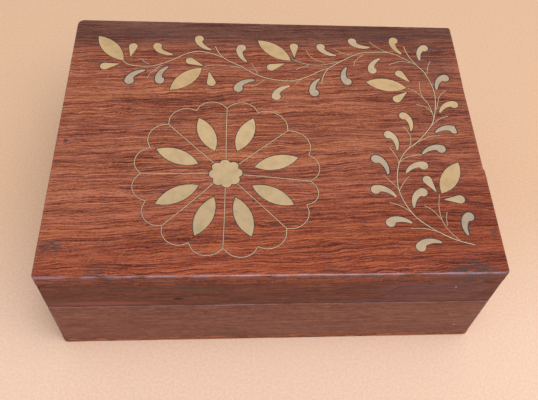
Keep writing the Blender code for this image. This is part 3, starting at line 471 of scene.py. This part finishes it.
def brass(name, base, seed, metallic=0.6, roughness=0.40, inlaid=True):
    """Hand-cut brass with fine scratches, mottling and dark specks. The inlay has painted shade at the
    front and a painted highlight at the back.
    """
    s = Shader(name)
    mottle = s.noise(s.sized(s.x, s.y, s.z, (4.5, 4.5, 4.5), seed), detail=5, roughness=0.65)
    sanding = s.noise(s.sized(s.x, s.y, s.z, (7, 0.16, 0.16), seed + 4))
    cross = s.noise(s.sized(s.math("ADD", s.x, s.y), s.math("SUBTRACT", s.x, s.y), s.z, (0.2, 9, 3), seed))
    scratch = s.math("ADD", s.math("MULTIPLY", sanding, 0.7), s.math("MULTIPLY", cross, 0.3))
    dull = tuple(channel * 0.85 for channel in base)
    colour = s.mix(s.band(mottle, 0.40, 0.68), base, dull)
    if inlaid:
        # Painted shade on the inlay at the lid's front and a painted highlight at its back
        towards_back = s.band(s.y, -72, 12)
        colour = s.mix(towards_back, s.tint(colour, BRASS_FRONT_SHADE_TINT), s.tint(colour, BRASS_BACK_HIGHLIGHT_TINT))
    specks = s.band(s.noise(s.sized(s.x, s.y, s.z, (0.9, 0.9, 0.9), seed + 9)), 0.66, 0.78)
    colour = s.mix(s.math("MULTIPLY", specks, 0.5), colour, GRIME)
    s.set("Base Color", colour)
    s.set("Metallic", metallic)
    s.set("Roughness", s.math("ADD", s.math("MULTIPLY", scratch, 0.22), roughness))
    s.bump(scratch, 0.02 * MM)
    return s.material


def steel(name):
    """Filed steel with a few brown spots."""
    s = Shader(name)
    file_marks = s.noise(s.sized(s.x, s.y, s.z, (0.3, 3, 3), 1.0))
    rust = s.band(s.noise(s.sized(s.x, s.y, s.z, (2, 2, 2), 6.0), detail=3), 0.56, 0.70)
    s.set("Base Color", s.mix(s.math("MULTIPLY", rust, 0.6), STEEL, RUST))
    s.set("Metallic", 0.9)
    s.set("Roughness", s.math("ADD", s.math("MULTIPLY", file_marks, 0.3), 0.25))
    s.bump(file_marks, 0.02 * MM)
    return s.material


def felt(name):
    """Short-napped red felt."""
    s = Shader(name)
    fibres = s.noise(s.sized(s.x, s.y, s.z, (0.35, 0.35, 0.35)), detail=3, roughness=0.7)
    clumps = s.noise(s.sized(s.x, s.y, s.z, (9, 9, 9), 3.0), detail=4)
    roots = tuple(channel * 0.55 for channel in FELT)
    colour = s.mix(s.band(fibres, 0.3, 0.7), roots, FELT)
    colour = s.mix(s.band(clumps, 0.45, 0.75, 0.0, 0.35), colour, FELT_RUBBED)
    s.set("Base Color", colour)
    s.set("Roughness", s.band(clumps, 0.2, 0.8, 0.86, 0.98))
    s.set("Sheen Weight", 0.12)
    s.set("Sheen Roughness", 0.5)
    s.bump(fibres, 0.25 * MM)
    return s.material


def filler(name):
    """Dark shellac and wood dust round the brass."""
    s = Shader(name)
    dust = s.noise(s.sized(s.x, s.y, s.z, (0.6, 0.6, 0.6)), detail=3)
    s.set("Base Color", s.mix(s.band(dust, 0.35, 0.75), FILLER, FILLER_DUST))
    s.set("Roughness", s.band(dust, 0.2, 0.8, 0.45, 0.75))
    s.bump(dust, 0.04 * MM)
    return s.material


# ---------------------------------------------------------------- meshes

def add_piece(name, bm, material, body, smooth=True):
    """Object that rides on a body."""
    bmesh.ops.recalc_face_normals(bm, faces=bm.faces)
    mesh = bpy.data.meshes.new(name)
    bm.to_mesh(mesh)
    bm.free()
    mesh.materials.append(material)
    piece = bpy.data.objects.new(name, mesh)
    bpy.context.scene.collection.objects.link(piece)
    if smooth:
        mesh.shade_smooth()
        mesh.set_sharp_from_angle(angle=math.radians(50))
        weighted = piece.modifiers.new("flat_faces_stay_flat", "WEIGHTED_NORMAL")
        weighted.keep_sharp = True
    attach(piece, body)
    return piece


def add_rings(bm, rings):
    """Skin of quads over rings of points with equal counts, with flat ends. Returns the vertices."""
    made = [[bm.verts.new(point) for point in ring] for ring in rings]
    count = len(rings[0])
    for lower, upper in zip(made, made[1:]):
        for i in range(count):
            j = (i + 1) % count
            bm.faces.new((lower[i], lower[j], upper[j], upper[i]))
    bm.faces.new(made[0][::-1])
    bm.faces.new(made[-1])
    return made


def perimeter(x_range, y_range, radii, spacing):
    """Points round a rounded rectangle with their outward normals, counter-clockwise from front left."""
    steps_per_corner = 6
    corners = (
        (x_range[0], y_range[0], 1, 1, 180), (x_range[1], y_range[0], -1, 1, 270),
        (x_range[1], y_range[1], -1, -1, 0), (x_range[0], y_range[1], 1, -1, 90),
    )
    points = []
    for number, (x, y, in_x, in_y, first) in enumerate(corners):
        radius = radii[number]
        centre = Vector((x + in_x * radius, y + in_y * radius))
        for i in range(steps_per_corner + 1):
            angle = math.radians(first + 90 * i / steps_per_corner)
            normal = Vector((math.cos(angle), math.sin(angle)))
            points.append((centre + radius * normal, normal))
        x2, y2, in_x2, in_y2, first2 = corners[(number + 1) % 4]
        radius2 = radii[(number + 1) % 4]
        start = points[-1][0]
        normal2 = Vector((math.cos(math.radians(first2)), math.sin(math.radians(first2))))
        end = Vector((x2 + in_x2 * radius2, y2 + in_y2 * radius2)) + radius2 * normal2
        steps = max(1, round((end - start).length / spacing))
        for i in range(1, steps):
            points.append((start.lerp(end, i / steps), normal2))
    return points


def worn_board(name, box, material, body, seed, radii, top_round, bottom_round, spacing=3 * MM,
               damage=None):
    """Board with softly worn edges: the rounding's radius wanders along each edge.

    radii are the corners' as seen from above. damage(point) moves the upper edge inwards, and a board
    that has it also holds its wear and a painted edge highlight as an attribute.
    """
    (x0, y0, z0), (x1, y1, z1) = box
    around = perimeter((x0, x1), (y0, y1), radii, spacing)

    def wander(point, size, amount):
        return 1 + amount * noise.noise(Vector((point.x / size, point.y / size, seed)))

    rings = []
    for level in range(3):                      # the lower edge's quarter turn
        angle = math.radians(90 - 45 * level)
        ring = []
        for point, normal in around:
            radius = bottom_round * wander(point, 12 * MM, 0.4)
            place = point - normal * radius * (1 - math.cos(angle))
            ring.append((*place, z0 + radius * (1 - math.sin(angle))))
        rings.append(ring)
    for level in range(7 if damage else 6):     # the upper edge's quarter turn, and a ring on the flat
        angle = math.radians(min(18 * level, 90))
        ring = []
        for point, normal in around:
            radius = top_round * wander(point, 16 * MM, 0.18) * wander(point, 2.5 * MM, 0.15)
            inset = radius * (1 - math.cos(angle)) + (LID_FLAT_RING if level == 6 else 0.0)
            if damage:
                inset += damage(point) * (1 if level else 0.85)
            ring.append((*(point - normal * inset), z1 - radius * (1 - math.sin(angle))))
        rings.append(ring)
    bm = bmesh.new()
    wear_and_highlight = bm.verts.layers.float.new("wear_and_highlight")
    made = add_rings(bm, rings)
    if damage:
        # The rub and its painted highlight are strong only along the front edge, where the overhead light
        # catches the rounding
        for ring, amount in zip(made[3:], LID_WEAR_AND_HIGHLIGHT):
            for vert, (_, normal) in zip(ring, around):
                vert[wear_and_highlight] = amount if normal.y < -0.5 else 0.1 * amount
    return add_piece(name, bm, material, body)


def curve_through(points):
    """Smooth line through points in millimetres (Catmull-Rom), in metres, sampled every WIRE_STEP or so."""
    points = [Vector(point) * MM for point in points]
    padded = [2 * points[0] - points[1], *points, 2 * points[-1] - points[-2]]
    line = []
    for p0, p1, p2, p3 in zip(padded, padded[1:], padded[2:], padded[3:]):
        count = max(1, round((p2 - p1).length / WIRE_STEP))
        for i in range(count):
            t = i / count
            line.append(0.5 * (2 * p1 + (p2 - p0) * t + (2 * p0 - 5 * p1 + 4 * p2 - p3) * t ** 2
                               + (3 * p1 - p0 - 3 * p2 + p3) * t ** 3))
    line.append(points[-1])
    return line


def add_wire(bm, line, half, crown_z, crown):
    """Flat wire let into the wood along a line. Its top is higher by crown along the middle."""
    rings = []
    for i, point in enumerate(line):
        along = (line[min(i + 1, len(line) - 1)] - line[max(i - 1, 0)]).normalized()
        side = Vector((-along.y, along.x))
        width = half * (1 + 0.16 * noise.noise(Vector((point.x / (4 * MM), point.y / (4 * MM), 0.3))))
        edge_z = crown_z - crown
        section = ((-width, crown_z - WIRE_DEPTH), (width, crown_z - WIRE_DEPTH), (width, edge_z),
                   (0.0, crown_z), (-width, edge_z))
        rings.append([(point.x + side.x * a, point.y + side.y * a, z) for a, z in section])
    add_rings(bm, rings)


def prism_rings(outline, levels):
    """Rings of an outline at (offset, z) levels; a positive offset moves the outline outwards."""
    count = len(outline)
    area = sum(a.x * b.y - b.x * a.y for a, b in zip(outline, outline[1:] + outline[:1]))
    sign = 1 if area > 0 else -1
    normals = []
    for i in range(count):
        before = (outline[i] - outline[i - 1]).normalized()
        after = (outline[(i + 1) % count] - outline[i]).normalized()
        out = sign * Vector((before.y + after.y, -before.x - after.x))
        out.normalize()
        stretch = 1 / max(0.5, out.dot(sign * Vector((before.y, -before.x))))
        normals.append(out * stretch)
    return [[(*(point + normal * offset), z) for point, normal in zip(outline, normals)]
            for offset, z in levels]


def plate_rings(outline):
    """Brass plate that stands just proud of the wood, with a small rounded edge."""
    top = TOP_Z + BRASS_PROUD
    return prism_rings(outline, (
        (0.0, top - PLATE_THICKNESS), (0.0, top - PLATE_BEVEL),
        (-0.3 * PLATE_BEVEL, top - 0.3 * PLATE_BEVEL), (-PLATE_BEVEL, top)))


# ---------------------------------------------------------------- inlay outlines

def turned_outline(points, x, y, heading, side=1):
    """Outline in millimetres (along, sideways) placed on the lid, in metres."""
    angle = math.radians(heading)
    along = Vector((math.cos(angle), math.sin(angle)))
    left = Vector((-along.y, along.x)) * side
    return [(Vector((x, y)) + along * a + left * b) * MM for a, b in points]


def bezier(controls, count):
    """Points on a cubic curve."""
    a, b, c, d = (Vector(point) for point in controls)
    points = []
    for i in range(count):
        t = i / (count - 1)
        points.append((1 - t) ** 3 * a + 3 * (1 - t) ** 2 * t * b + 3 * (1 - t) * t * t * c + t ** 3 * d)
    return points


def comma_outline(number, x, y, heading, side):
    """Round head and a bent tail that leaves it with a notch on the inner side."""
    size = 1 + 0.05 * noise.noise(Vector((number * 1.7, 0.4, 0.0)))
    fullness = 1 + 0.09 * noise.noise(Vector((number * 1.3, 2.6, 0.0)))
    tail = bezier(COMMA_INNER, 9) + bezier(COMMA_OUTER, 12)
    points = [Vector((point.x, point.y * fullness)) for point in tail]
    for i in range(1, 11):
        angle = math.radians(120 + 236 * i / 11)
        points.append(Vector((math.cos(angle), math.sin(angle))) * COMMA_HEAD)
    if number == SQUARE_COMMA:
        points = [Vector((max(point.x, SQUARE_CUT), point.y)) for point in points]
    return turned_outline([point * size for point in points], x, y, heading, side)


def drop_outline(number, x, y, heading):
    """Teardrop: a round head and two nearly straight sides."""
    size = 1 + 0.04 * noise.noise(Vector((number * 2.3, 0.1, 0.0)))
    touch = math.degrees(math.acos(DROP_HEAD / DROP_LENGTH))
    points = [Vector((DROP_LENGTH, DROP_TIP_HALF))]
    for i in range(15):
        angle = math.radians(touch + (360 - 2 * touch) * i / 14)
        points.append(Vector((math.cos(angle), math.sin(angle))) * DROP_HEAD)
    points.append(Vector((DROP_LENGTH, -DROP_TIP_HALF)))
    return turned_outline([point * size for point in points], x, y, heading)


def cad_outline(node):
    """Outline of a CAD inlay piece, read off its top face."""
    top = [v.co.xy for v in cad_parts[node].data.vertices if v.co.z > TOP_Z - 0.01 * MM]
    middle = sum(top, Vector((0, 0))) / len(top)
    corners = []
    for point in sorted(top, key=lambda p: math.atan2(p.y - middle.y, p.x - middle.x)):
        if not corners or (point - corners[-1]).length > 0.02 * MM:
            corners.append(point.copy())
    return corners


# ---------------------------------------------------------------- the lid

def edge_damage(point):
    """Nick in the lid's right edge, and the slightly dressed-back edge behind it."""
    if point.x < X_END - 1 * MM:
        return 0.0
    nick = NICK_DEPTH * max(0.0, 1 - abs(point.y - NICK_Y) / NICK_HALF)
    recess = DRESSED_BACK * min(1.0, max(0.0, (point.y - NICK_Y) / (2 * MM)))
    fade = min(1.0, max(0.0, (60 * MM - point.y) / (30 * MM)))
    return max(nick, recess * fade)


def cut_pockets(board, outlines):
    """Cut the inlay's pockets into the board's mesh for good."""
    bm = bmesh.new()
    for outline, ring in outlines:
        add_rings(bm, prism_rings(outline, ((ring, TOP_Z - POCKET_DEPTH), (ring, TOP_Z + MM))))
    bmesh.ops.recalc_face_normals(bm, faces=bm.faces)
    mesh = bpy.data.meshes.new("pocket_cutter")
    bm.to_mesh(mesh)
    bm.free()
    cutter = bpy.data.objects.new("pocket_cutter", mesh)
    bpy.context.scene.collection.objects.link(cutter)
    board.modifiers.clear()
    modifier = board.modifiers.new("pockets", "BOOLEAN")
    modifier.operation = "DIFFERENCE"
    modifier.solver = "EXACT"
    modifier.object = cutter
    bpy.context.view_layer.update()
    cut = bpy.data.meshes.new_from_object(board.evaluated_get(bpy.context.evaluated_depsgraph_get()))
    board.modifiers.clear()
    board.data = cut
    board.modifiers.new("flat_faces_stay_flat", "WEIGHTED_NORMAL").keep_sharp = True
    bpy.data.objects.remove(cutter)


def add_lid_top(wood, dark, metals):
    """Top board with every pocket, its filler and the brass of the vine."""
    low, high = LID_LOW.copy(), LID_HIGH.copy()
    low.z -= JOINT_CLOSING
    board = worn_board("lid_top", (low, high), wood, "lid", seed=4.0, radii=LID_CORNERS,
                       top_round=0.75 * MM, bottom_round=0.03 * MM, spacing=1.2 * MM, damage=edge_damage)
    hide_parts("lid_top_board")

    plates = []
    for number, (x, y, heading, side, metal) in enumerate(COMMAS, start=1):
        plates.append((f"comma_{number}", comma_outline(number, x, y, heading, side), metal))
    for number, (x, y, heading) in enumerate(DROPS, start=1):
        metal = "pale_gold" if number <= LAST_GOLD_DROP else "straw"
        plates.append((f"drop_{number}", drop_outline(number, x, y, heading), metal))
    for name, outline, metal in plates:
        bm = bmesh.new()
        add_rings(bm, plate_rings(outline))
        add_piece(name, bm, metals[metal], "lid")

    inlaid = [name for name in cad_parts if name.startswith(("petal_", "leaf_", "flower"))]
    outlines = [(outline, (WIDE_RING if metal == "grey" else 1.0) * FILLER_RING)
                for _, outline, metal in plates]
    outlines += [(cad_outline(name), FILLER_RING) for name in sorted(inlaid)]
    cut_pockets(board, outlines)

    bm = bmesh.new()
    for outline, ring in outlines:
        edge = ring + FILLER_OVERLAP
        add_rings(bm, prism_rings(outline, (
            (edge, TOP_Z - POCKET_DEPTH + JOINT), (edge, TOP_Z - FILLER_SINK))))
    add_piece("inlay_filler", bm, dark, "lid", smooth=False)


def add_wires(metal, dark):
    """Vine stems and the flower's rosette, each with a dark line of filler on both sides."""
    stems = [curve_through(points) for points in STEMS]
    centre = Vector(FLOWER)

    def ray(degrees, radius):
        angle = math.radians(degrees)
        return centre + radius * Vector((math.cos(angle), math.sin(angle)))

    rosette = [curve_through((ray(angle, SPOKE_START), ray(angle + 0.3, 23), ray(angle, length)))
               for angle, length in SPOKES]
    cusps = sorted(SPOKES + NOTCHES)
    for (angle, radius), (next_angle, next_radius) in zip(cusps, cusps[1:] + cusps[:1]):
        sweep = (next_angle - angle) % 360
        lobe = []
        for i in range(7):
            t = i / 6
            rise = LOBE_RISE * math.sin(math.pi * t) ** 0.75
            lobe.append(ray(angle + sweep * t, radius + (next_radius - radius) * t + rise))
        rosette.append(curve_through(lobe))
    groups = (("vine_stems", stems[:MAIN_STEMS], 1.2), ("vine_twigs", stems[MAIN_STEMS:], 0.8),
              ("rosette_wires", rosette, 0.95))
    layers = (("", 1.0, WIRE_PROUD, WIRE_CROWN, metal, "brass_inlay"),
              ("_filler", WIRE_FILLER_WIDTH, WIRE_FILLER_PROUD, 0.0, dark, "wood_top"))
    for name, lines, thickness in groups:
        for suffix, width, rise, crown, material, slot in layers:
            bm = bmesh.new()
            for line in lines:
                add_wire(bm, line, width * thickness * WIRE_HALF, TOP_Z + rise, crown)
            add_piece(name + suffix, bm, material, "lid")


# ---------------------------------------------------------------- other boards, linings and hardware

def add_boards(woods):
    """Boards of simple shape, remade with worn edges and without the CAD's gaps at the glue lines."""
    low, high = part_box("bottom_board")
    high.z += JOINT_CLOSING
    piece = worn_board("bottom", (low, high), woods["bottom"], "base", seed=9.0, radii=(2.2 * MM,) * 4,
                       top_round=0.1 * MM, bottom_round=0.6 * MM)
    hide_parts("bottom_board")
    sides = (("base_left_wall", "base"), ("base_right_wall", "base"), ("lid_left_rail", "lid"),
             ("lid_right_rail", "lid"))
    for number, (node, body) in enumerate(sides):
        low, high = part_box(node)
        low.y -= JOINT_CLOSING
        high.y += JOINT_CLOSING
        wood = woods["left" if "left" in node else "right"]
        piece = worn_board(node + "_board", (low, high), wood, body, seed=20.0 + number,
                           radii=(0.4 * MM,) * 4, top_round=0.2 * MM, bottom_round=0.2 * MM)
        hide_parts(node)


def shading_group():
    """Geometry nodes that shade gentle bends smoothly and leave sharp edges sharp."""
    group = bpy.data.node_groups.new("smooth_gentle_bends", "GeometryNodeTree")
    for way in ("INPUT", "OUTPUT"):
        group.interface.new_socket("Geometry", in_out=way, socket_type="NodeSocketGeometry")
    start, end, faces, edges, angle, sharp = (group.nodes.new(kind) for kind in (
        "NodeGroupInput", "NodeGroupOutput", "GeometryNodeSetShadeSmooth", "GeometryNodeSetShadeSmooth",
        "GeometryNodeInputMeshEdgeAngle", "FunctionNodeCompare"))
    faces.domain = "FACE"
    edges.domain = "EDGE"
    edges.inputs["Shade Smooth"].default_value = False
    sharp.operation = "GREATER_THAN"
    sharp.inputs["B"].default_value = math.radians(40)
    links = (
        (start.outputs[0], faces.inputs["Geometry"]), (faces.outputs[0], edges.inputs["Geometry"]),
        (angle.outputs["Unsigned Angle"], sharp.inputs["A"]),
        (sharp.outputs[0], edges.inputs["Selection"]), (edges.outputs[0], end.inputs[0]),
    )
    for source, target in links:
        group.links.new(source, target)
    return group


def soften(node, width, group):
    """Small rounding on a CAD node's sharp edges, and smooth shading of its round parts."""
    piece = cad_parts[node]
    piece.modifiers.new("weld", "WELD").merge_threshold = 0.005 * MM
    bevel = piece.modifiers.new("soft_edges", "BEVEL")
    bevel.width = width
    bevel.segments = 2
    bevel.limit_method = "ANGLE"
    bevel.angle_limit = math.radians(40)
    bevel.use_clamp_overlap = True
    piece.modifiers.new("smooth_rounds", "NODES").node_group = group
    piece.modifiers.new("flat_faces_stay_flat", "WEIGHTED_NORMAL").keep_sharp = True


def rounded_copy(name, node, width, edge_test, material, body, moved=None):
    """Copy of a CAD node with the chosen edges rounded, after an optional move of its vertices."""
    bm = bmesh.new()
    bm.from_mesh(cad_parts[node].data)
    bmesh.ops.remove_doubles(bm, verts=bm.verts, dist=0.005 * MM)
    bmesh.ops.dissolve_limit(bm, angle_limit=math.radians(1), verts=bm.verts, edges=bm.edges)
    edges = [edge for edge in bm.edges if edge_test(*(vert.co / MM for vert in edge.verts))]
    bmesh.ops.bevel(bm, geom=edges, offset=width, segments=3, profile=0.5, affect="EDGES",
                    clamp_overlap=True)
    if moved:
        for vert in bm.verts:
            vert.co += moved(vert.co)
    piece = add_piece(name, bm, material, body)
    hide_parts(node)


def front_draft(point):
    """How far the lid's front rail is sanded back above the seam, so that the base stands proud there."""
    low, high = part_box("lid_front_rail")
    lower_part = min(1.0, max(0.0, (high.z - point.z) / (high.z - low.z)))
    on_face = 1.0 if point.y < low.y + 1 * MM else 0.0
    return Vector((0, FRONT_DRAFT * lower_part * on_face, 0))


def paint(node, material):
    """Give a CAD node its final material."""
    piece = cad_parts[node]
    piece.data.materials.clear()
    piece.data.materials.append(material)


def add_felt(name, node, body, material):
    """Felt cut to the inside of the box and glued down, with a slightly uneven nap."""
    low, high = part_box(node)
    bm = bmesh.new()
    steps_x, steps_y = 92, 64
    top, bottom = [], []
    upper_face = body == "base"
    for j in range(steps_y + 1):
        for i in range(steps_x + 1):
            x = low.x + (high.x - low.x) * i / steps_x
            y = low.y + (high.y - low.y) * j / steps_y
            lump = 0.12 * MM * noise.noise(Vector((x / (14 * MM), y / (14 * MM), 1.0)))
            lump += 0.04 * MM * noise.noise(Vector((x / (4 * MM), y / (4 * MM), 5.0)))
            rim = min(x - low.x, high.x - x, y - low.y, high.y - y)
            lump -= FELT_RIM_DROP * max(0.0, 1 - rim / FELT_RIM) ** 2
            open_z = high.z - FELT_SUNK + lump if upper_face else low.z + FELT_SUNK - lump
            back_z = low.z if upper_face else high.z
            top.append(bm.verts.new((x, y, open_z)))
            bottom.append(bm.verts.new((x, y, back_z)))
    row = steps_x + 1
    for j in range(steps_y):
        for i in range(steps_x):
            a = j * row + i
            for layer in (top, bottom):
                bm.faces.new((layer[a], layer[a + 1], layer[a + row + 1], layer[a + row]))
    edge = (list(range(row)) + [j * row + steps_x for j in range(1, steps_y + 1)]
            + [steps_y * row + i for i in range(steps_x - 1, -1, -1)]
            + [j * row for j in range(steps_y - 1, 0, -1)])
    for a, b in zip(edge, edge[1:] + edge[:1]):
        bm.faces.new((top[a], top[b], bottom[b], bottom[a]))
    piece = add_piece(name, bm, material, body)
    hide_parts(node)


def dress_cad_nodes(woods, metals):
    """Final materials and softened edges of the CAD nodes that stay."""
    wooden = {
        "lid_back_rail": ("lid_back", 0.2), "base_back_wall": ("base_back", 0.2),
        "base_front_wall": ("base_front", 0.1), "key_plug": ("left", 0.15),
    }
    group = shading_group()
    for node, (wood, width) in wooden.items():
        paint(node, woods[wood])
        soften(node, width * MM, group)
    grey = steel("steel")
    for node in sorted(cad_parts):
        if node in ("key_shank", "lock_pin", "bolt_spring"):
            paint(node, grey)
            soften(node, 0.08 * MM, group)
        elif node.startswith(("hinge", "lock", "strike", "panel_stop")):
            paint(node, metals["hardware"])
            soften(node, 0.06 * MM, group)
        elif node.startswith(("petal", "leaf", "flower")):
            paint(node, metals["gold" if node.startswith("leaf") else "pale_gold"])
            soften(node, PLATE_BEVEL, group)


# ---------------------------------------------------------------- floor, light and camera

def add_stage():
    """Pale floor with painted light near the box's front and painted shade farther out, an even pale
    surround and soft lights from above.
    """
    bm = bmesh.new()
    bmesh.ops.create_grid(bm, x_segments=1, y_segments=1, size=2.5)
    mesh = bpy.data.meshes.new("floor")
    bm.to_mesh(mesh)
    bm.free()
    s = Shader("floor")
    speckle = s.band(s.noise(s.sized(s.x, s.y, 0.0, (1.3, 1.3, 1)), detail=3, roughness=0.7), 0.35, 0.65)
    colour = s.mix(speckle, FLOOR_SPECKLE, FLOOR)
    # Painted pool of light beside and just in front of the box, then painted shade farther to the front
    colour = s.tint(colour, FLOOR_LIGHT_POOL_TINT, s.band(s.y, 20, -90))
    s.set("Base Color", s.tint(colour, FLOOR_OUTER_SHADE_TINT, s.band(s.y, -95, -200)))
    s.set("Roughness", 0.9)
    mesh.materials.append(s.material)
    floor = bpy.data.objects.new("floor", mesh)
    floor.location.z = -0.05 * MM
    bpy.context.scene.collection.objects.link(floor)

    world = bpy.data.worlds.new("surround")
    world.use_nodes = True
    background = world.node_tree.nodes["Background"]
    background.inputs["Color"].default_value = (1.0, 0.99, 0.98, 1.0)
    background.inputs["Strength"].default_value = 0.58
    bpy.context.scene.world = world

    for name, place, size, power, colour in LIGHTS:
        light = bpy.data.lights.new(name, "AREA")
        light.size = size
        light.energy = power
        light.color = colour
        lamp = bpy.data.objects.new(name, light)
        lamp.location = place
        lamp.rotation_euler = (-Vector(place)).to_track_quat("-Z", "Y").to_euler()
        bpy.context.scene.collection.objects.link(lamp)


def add_camera():
    """Camera above the front of the box, a little to the left, as fitted to the box's corners and edges."""
    data = bpy.data.cameras.new("camera")
    data.lens = 46.57
    data.shift_x = -0.0508
    data.shift_y = -0.0647
    data.clip_start = 0.01
    camera = bpy.data.objects.new("camera", data)
    camera.location = Vector((-0.0936, -1.0168, 1.6579)) * LENGTH
    camera.rotation_euler = Euler([math.radians(angle) for angle in (35.25, -4.354, -2.828)])
    bpy.context.scene.collection.objects.link(camera)
    bpy.context.scene.camera = camera


def make_woods():
    """One material for each visible board, from different parts of the tree."""
    panel_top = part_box("front_panel")[1].z / MM
    return {
        "lid_top": rosewood("wood_lid_top", 2.0, (-170, -10), 0.93, (1.02, 0.97, 1.00), tone=0.032,
                            slope=0.07, lid=True),
        "lid_front": rosewood("wood_lid_front", 31.0, (-90, -120), 0.28, (0.68, 0.83, 1.12), tone=-0.02,
                              marks=RAIL_MARKS),
        "lid_back": rosewood("wood_lid_back", 37.0, (60, -120), 0.45, SIDE_TINT),
        # The panel's top edge gets the rubbed lilac colour with a painted highlight in it
        "panel": rosewood("wood_panel", 41.0, (-60, 190), 0.35, (0.93, 1.25, 1.84), marks=PANEL_MARKS,
                          rub_and_highlight_above=panel_top - 0.45),
        "base_front": rosewood("wood_base_front", 47.0, (-60, 160), 0.35, SIDE_TINT),
        "base_back": rosewood("wood_base_back", 53.0, (60, 180), 0.45, SIDE_TINT),
        "left": rosewood("wood_left", 61.0, (-120, -110), 0.45, SIDE_TINT, grain="Y"),
        "right": rosewood("wood_right", 67.0, (120, 190), 0.45, SIDE_TINT, grain="Y"),
        "bottom": rosewood("wood_bottom", 71.0, (190, 50), 0.8, tone=0.03),
    }


def add_fronts(woods):
    """The lid's front rail and the sliding panel, with rounded edges where they meet at the seam."""
    seam_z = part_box("lid_front_rail")[0].z / MM
    panel_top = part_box("front_panel")[1].z / MM

    def rail_edge(a, b):
        return max(a.z, b.z) < seam_z + 0.01 and max(a.y, b.y) < -70 and (a - b).length > 0.2

    def panel_edge(a, b):
        return min(a.z, b.z) > panel_top - 0.01 and max(a.y, b.y) < -74

    rounded_copy("lid_front_rail_board", "lid_front_rail", 0.45 * MM, rail_edge, woods["lid_front"], "lid",
                 moved=front_draft)
    rounded_copy("front_panel_board", "front_panel", 0.4 * MM, panel_edge, woods["panel"], "panel")


def main():
    add_camera()
    add_stage()
    woods = make_woods()
    metals = {metal: brass("brass_" + metal, colour, seed)
              for seed, (metal, colour) in enumerate(INLAY_METALS.items())}
    metals["hardware"] = brass("brass_hardware", HARDWARE_BRASS, 8.0, metallic=0.9, roughness=0.26,
                               inlaid=False)
    dark = filler("inlay_filler")
    red = felt("felt")
    add_lid_top(woods["lid_top"], dark, metals)
    add_wires(metals["wire"], dark)
    add_boards(woods)
    add_felt("base_felt", "base_lining", "base", red)
    add_felt("lid_felt", "lid_lining", "lid", red)
    add_fronts(woods)
    dress_cad_nodes(woods, metals)
    bpy.context.scene.view_settings.view_transform = "Standard"


main()
